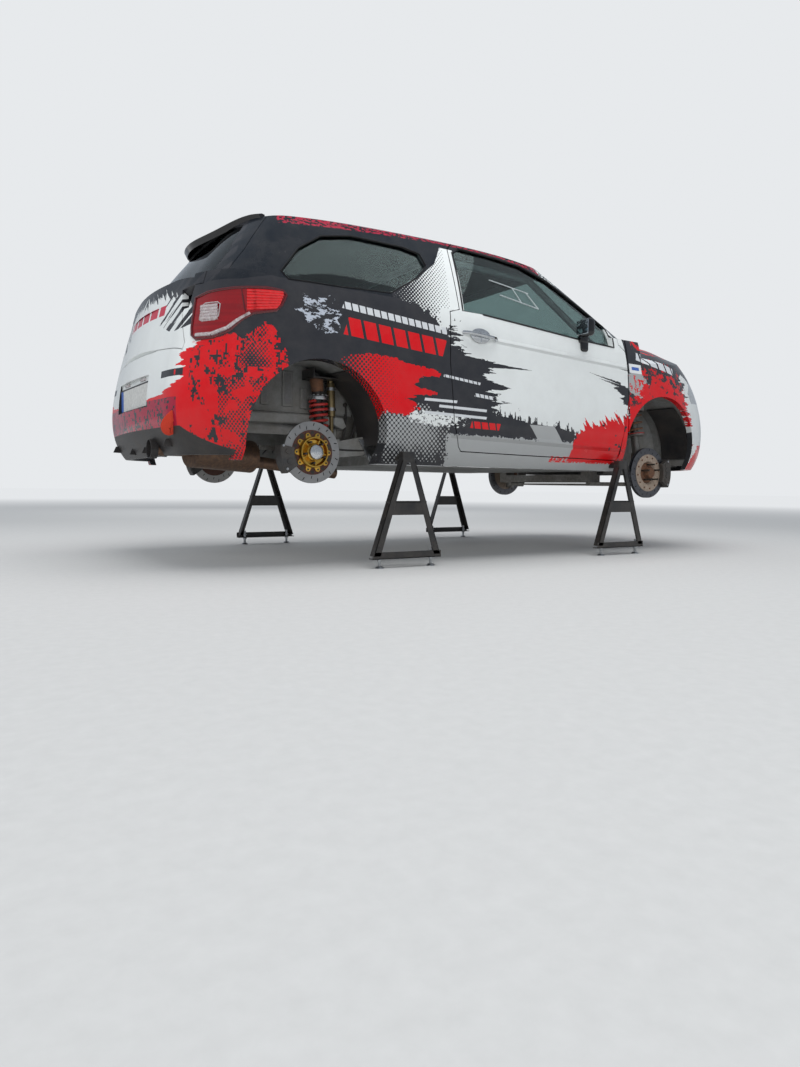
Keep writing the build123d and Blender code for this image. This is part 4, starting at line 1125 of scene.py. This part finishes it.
# Outlines of the side windows: x, z
DOOR_WINDOW = [(-388, 1010), (474, 953), (744, 942), (750, 1078), (685, 1113), (361, 1300), (155, 1368),
               (-26, 1382), (-300, 1390), (-352, 1352)]
QUARTER_WINDOW = [(-1405, 1072), (-1375, 1035), (-1133, 1031), (-845, 1042), (-655, 1155), (-578, 1235),
                  (-600, 1300), (-700, 1320), (-1000, 1322), (-1166, 1290), (-1296, 1205)]


def seal(node, outline, body, piece, width, other):
    """Rubber round a window, laid on the right-hand node's outer face."""
    spots = [Vector((x, 0, z)) for x, z in shrunk(outline, 1.016)]
    line = [p for p in laid(search(node), filled(spots, 30.0), (0, 1, 0)) if p.y < -400]
    form = Form()
    form.sweep(line, width, closed=True)
    form.finish(piece, body, "black_plastic", rubber, other=other)


for side, other in SIDES:
    seal("door_right", DOOR_WINDOW, "door_" + side, "door_window_seal_" + side, 5.0, other)
    seal("body_sides", QUARTER_WINDOW, "chassis", "quarter_window_seal_" + side, 4.0, other)

    # Handle with its cup
    form = Form()
    form.lathe([(0, -842), (30, -842.5), (37, -845), (38, -848), (34, -851), (0, -852)], (-318, 0, 879), "Y",
               40)
    about = Matrix.Translation((318, 0, 0))
    bmesh.ops.scale(form.mesh, vec=(1.75, 1, 1), space=about, verts=form.mesh.verts)
    form.sweep([(-432, -842, 886), (-420, -856, 885), (-380, -868, 883), (-316, -873, 878), (-250, -868, 874),
                (-214, -856, 871), (-204, -842, 870)], 9.5, smooth=True, sides=4)
    form.number = 1
    form.bar((-236, -869, 873), (-236, -877, 873), 5.5, sides=20, edge=1)
    form.finish("door_handle_" + side, "door_" + side, "steel", chrome, dark_steel, other=other)

    # Rails of the sliding pane, on the glass
    tree = search("door_glass_right")
    form = Form()
    for ends in (((-135, 1232), (150, 1196)), ((-85, 1150), (200, 1108)), ((28, 1212), (72, 1126)),
                 ((130, 1200), (196, 1110))):
        spots = [Vector((x, 0, z)) for x, z in ends]
        form.sweep(laid(tree, filled(spots, 25.0, False), (0, 1, 0), 2.0), 3.5)
    form.finish("sliding_pane_rails_" + side, "door_" + side, "glass", rail_plastic, other=other)

    # Mirror: rounded shell, glass and foot
    form = Form()
    form.slab((430, -918, 962), (488, -808, 1066), 26, 6)
    form.slab((452, -846, 882), (508, -792, 985), 14, 4)
    form.slab((440, -850, 930), (500, -812, 990), 12, 4)
    form.number = 1
    form.slab((426, -908, 972), (434, -818, 1056), 3.5, 3)
    form.finish("mirror_detail_" + side, "door_" + side, "black_plastic", gloss_black, mirror_glass,
                replaces=["mirror_" + side], other=other)


# Stands of welded angle with threaded feet

form = Form()
for x in (-797, 783):
    for way in (-1, 1):
        form.number = 0
        for inner_foot, inner_top, deep in ((160, 4, 5), (195, 31, 40)):
            corners = ((200, -267), (inner_foot, -267), (inner_top, 213), (36, 213))
            form.prism([(x + way * dx, -890, z) for dx, z in corners], (0, deep, 0), 0.8, 1)
        for k in range(6):
            share = (k + 0.6) / 6.4
            spot = Vector((x + way * (180 - 160 * share), -891, -267 + 480 * share))
            form.bar(spot, spot + Vector((0, 1.4, 0)), 7.5, sides=20)
        form.number = 1
        foot = x + way * 155
        form.bar((foot, -870, -317), (foot, -870, -235), 8, sides=20)
        for low in (-290, -266):
            form.bar((foot, -870, low), (foot, -870, low + 7), 13, sides=6)
        form.bar((foot, -870, -327), (foot, -870, -317), 24, 15, sides=28, edge=1.5)
    form.number = 0
    form.slab((x - 205, -890, -282), (x + 205, -885, -247), 0.8, 1)
    form.slab((x - 205, -890, -282), (x + 205, -850, -277), 0.8, 1)
    form.slab((x - 112, -889, -65), (x + 112, -884, 5), 1.5, 1)
    form.slab((x - 112, -889, -4), (x + 112, -852, 2), 1.0, 1)
    form.slab((x - 37, -891, 197), (x + 37, -849, 249), 4, 2)
    form.bar((x, -872, 222), (x, -740, 222), 18, sides=32, edge=1.5)
form.double()
form.finish("stand_frames", "chassis", "stand", stand_paint, zinc, replaces=["stands"])


# Seats, belts and steering wheel

# Outlines of a seat's side and back: x, z
SEAT_SIDE = [(-250, 200), (190, 200), (236, 372), (60, 372), (-50, 410), (-120, 640), (-150, 760),
             (-200, 900), (-296, 960), (-300, 880), (-180, 330)]
SEAT_BACK = [(-180, 330), (-150, 420), (-232, 992), (-300, 1002), (-306, 880)]

for side, other in SIDES:
    form = Form()
    for y0, y1 in ((-600, -560), (-200, -160)):
        form.prism([(x, y0, z) for x, z in SEAT_SIDE], (0, y1 - y0, 0), 14, 3)
    form.prism([(x, -575, z) for x, z in SEAT_BACK], (0, 390, 0), 12, 3)
    form.slab((-230, -575, 205), (205, -185, 235), 10, 3)
    for y0, y1 in ((-590, -510), (-250, -170)):
        form.slab((-262, y0, 850), (-150, y1, 985), 22, 4)
    form.finish("seat_shell_" + side, "chassis", "seat", shell_cloth, other=other, replaces=["seats"])
    form = Form()
    form.slab((-60, -548, 232), (190, -212, 330), 26, 4)
    lean_back = Matrix.Translation((-135, 0, 420)) @ Matrix.Rotation(math.radians(-8), 4, "Y")
    form.slab((-30, -545, 0), (35, -215, 300), 26, 4, lean_back)
    form.slab((-62, -520, 325), (-8, -240, 500), 24, 4, lean_back)
    pads = form.finish("seat_pads_" + side, "chassis", "seat", pad_cloth, other=other)
    form = Form()
    for y in (-455, -305):
        form.sweep([(-215, y, 880), (-160, y, 790), (-118, y, 640), (-85, y, 470),
                    (-20, -380 + (y + 380) * .3, 352)], 1.4, width=24)
    form.sweep([(-60, -540, 330), (0, -470, 345), (30, -380, 350), (0, -290, 345), (-60, -220, 330)], 1.4,
               width=24)
    form.number = 1
    form.bar((-6, -380, 346), (4, -380, 362), 26, sides=24, edge=2)
    form.finish("seat_belts_" + side, "chassis", "seat", red_enamel, zinc, other=other)

form = Form()
ring = []
for k in range(40):
    a = 2 * math.pi * k / 40
    ring.append((170 * math.cos(a), 170 * math.sin(a), 0))
form.sweep(ring, 14.5, closed=True, sides=4)
form.number = 1
for a in (90, 210, 330):
    form.slab((26, -14, -22), (160, 14, -18), 1.5, 1, Matrix.Rotation(math.radians(a), 4, "Z"))
form.bar((0, 0, -26), (0, 0, -8), 48, 40, sides=36, edge=2)
form.number = 0
form.bar((0, 0, -8), (0, 0, -2), 30, 26, sides=36, edge=2)
axis = Vector((-0.90, 0, 0.436)).normalized()
turn = axis.to_track_quat("Z", "Y").to_matrix().to_4x4()
bmesh.ops.transform(form.mesh, matrix=Matrix.Translation(STEERING) @ turn, verts=form.mesh.verts)
form.bar(STEERING - axis * 24, STEERING - axis * 300, 22, sides=28)
form.finish("steering_wheel_detail", "steering_wheel", "black_plastic", seat_cloth, dark_steel,
            replaces=["steering_wheel"])


# Rear: plate, its lamps, tow loop, the diffuser's fins and the tail pipe's lip

form = Form()
form.slab((-1898, -268, 448), (-1889, 268, 574), 3, 2)
form.number = 1
form.slab((-1899.5, -258, 457), (-1896, 212, 565), 1, 1)
form.number = 2
form.slab((-1899.5, 214, 457), (-1896, 258, 565), 1, 1)
form.number = 3
for y in (-150, 150):
    form.slab((-1896, y - 45, 582), (-1880, y + 45, 596), 4, 2)
plate_blue = coated("Blue plate band", (0.02, 0.10, 0.42), 0.35)
form.finish("rear_plate", "chassis", "plate", black_plastic, plate_white, plate_blue, lamp_clear,
            replaces=["number_plate"])
form = Form()
form.slab((-1866, -590, 395), (-1846, -548, 428), 3, 2)
form.number = 1
form.sweep([(-1852, -570, 404), (-1884, -568, 378), (-1906, -560, 346), (-1899, -552, 318),
            (-1876, -548, 312), (-1866, -556, 336), (-1858, -566, 392)], 2.0, smooth=True, width=19)
form.finish("tow_loop", "chassis", "red_spring", black_plastic, tow_webbing)

form = Form()
for y in (-480, -120, 120, 480):
    foot = 222 + 0.06 * abs(y)
    corners = ((-1895, foot), (-1700, foot - 8), (-1700, foot + 60), (-1880, foot + 34))
    form.prism([(x, y - 3, z) for x, z in corners], (0, 6, 0), 1.0, 1)
form.lathe([(43, -1905), (47, -1905), (47, -1870), (43, -1870), (43, -1905)], (0, -282, 245), "X", 40)
form.finish("diffuser_fins", "chassis", "black_plastic", black_plastic)

# Front: slats across both openings
tree = search("front_bumper")
form = Form()
for half, below, rows in ((455, 286, (322, 343, 364, 385, 406)), (345, 546, (578, 594, 610, 626))):
    spots = [Vector((800, y, below)) for y in range(-half, half + 1, 35)]
    line = laid(tree, spots, (-1, 0, 0), -26.0)
    for z in rows:
        form.sweep([Vector((p.x, p.y, z)) for p in line], 4.0)
    for p in line[1:-1]:
        form.bar((p.x, p.y, rows[0] - 18), (p.x, p.y, rows[-1] + 18), 3.0, sides=8)
form.finish("front_slats", "chassis", "black_plastic", gloss_black)


# Stage, light and camera

BACKDROP = (0.80, 0.82, 0.84)
mesh = bmesh.new()
bmesh.ops.create_grid(mesh, x_segments=1, y_segments=1, size=60.0)
data = bpy.data.meshes.new("floor")
mesh.to_mesh(data)
mesh.free()
floor = bpy.data.objects.new("floor", data)
bpy.context.scene.collection.objects.link(floor)
floor_paint, g, shader = new_material("Pale floor", Roughness=0.85)
speck = g.noise(g.place()[0], 30.0, 4.0, 0.6)
g.feed(shader.inputs["Base Color"], g.mix(speck, (0.50, 0.50, 0.49), (0.58, 0.58, 0.57)))
# Far off the floor takes on the background's colour, so that no line shows between them
_, x, y, _ = g.place()
away = g.math("SQRT", g.add(g.mul(x, x), g.mul(y, y)))
far = g.math("DIVIDE", g.math("SUBTRACT", away, 5.0), 13.0, clamp=True)
glow = g.node("ShaderNodeEmission")
g.feed(glow.inputs["Color"], BACKDROP)
joined = g.node("ShaderNodeMixShader")
g.feed(joined.inputs[0], g.math("SMOOTH_MIN", far, 1.0, 0.2))
g.feed(joined.inputs[1], shader.outputs[0])
g.feed(joined.inputs[2], glow.outputs[0])
g.feed(floor_paint.node_tree.nodes["Material Output"].inputs["Surface"], joined.outputs[0])
floor.data.materials.append(floor_paint)

world = bpy.data.worlds.new("Studio")
bpy.context.scene.world = world
world.use_nodes = True
g = Graph(world.node_tree)
background = world.node_tree.nodes["Background"]
path = g.node("ShaderNodeLightPath")
seen = g.math("MAXIMUM", path.outputs["Is Camera Ray"], path.outputs["Is Transmission Ray"])
g.feed(background.inputs["Color"], g.mix(seen, (0.62, 0.68, 0.76), BACKDROP))
g.feed(background.inputs["Strength"], g.blend(seen, 0.55, 1.0))


def area_lamp(name, place, aim, size, power):
    lamp = bpy.data.lights.new(name, "AREA")
    lamp.shape = "RECTANGLE"
    lamp.size, lamp.size_y = size
    lamp.energy = power
    made = bpy.data.objects.new(name, lamp)
    made.location = place
    made.visible_glossy = False
    made.rotation_euler = (Vector(aim) - Vector(place)).to_track_quat("-Z", "Y").to_euler()
    bpy.context.scene.collection.objects.link(made)


area_lamp("overhead", (0, -1, 6.5), (0, 0, 0.8), (7, 5), 380)
area_lamp("side", (-3.5, -7.5, 3.6), (0, 0, 0.9), (5, 3), 230)
area_lamp("rear", (-7.5, 1.5, 3.2), (-1.5, 0, 0.9), (4, 2.5), 130)
area_lamp("far side", (2.5, 7.5, 3.6), (0, 0, 0.9), (5, 3), 150)

# The camera that fits the photo
FOCAL_PIXELS, PHOTO_HEIGHT = 759.87, 1067
camera_data = bpy.data.cameras.new("camera")
camera_data.lens = FOCAL_PIXELS * camera_data.sensor_width / PHOTO_HEIGHT
camera_data.clip_end = 200
camera = bpy.data.objects.new("camera", camera_data)
right = Vector((0.83440204, -0.55104689, 0.01097996))
upward = Vector((0.02449706, 0.05698104, 0.99807467))
forward = Vector((0.5506116, 0.83252657, -0.06104413))
turned = Matrix((right, upward, -forward)).transposed().to_4x4()
camera.matrix_world = Matrix.Translation((-2.92186 - SHIFT, -4.02806, 0.40051)) @ turned
bpy.context.scene.collection.objects.link(camera)
bpy.context.scene.camera = camera
bpy.context.scene.view_settings.view_transform = "Standard"
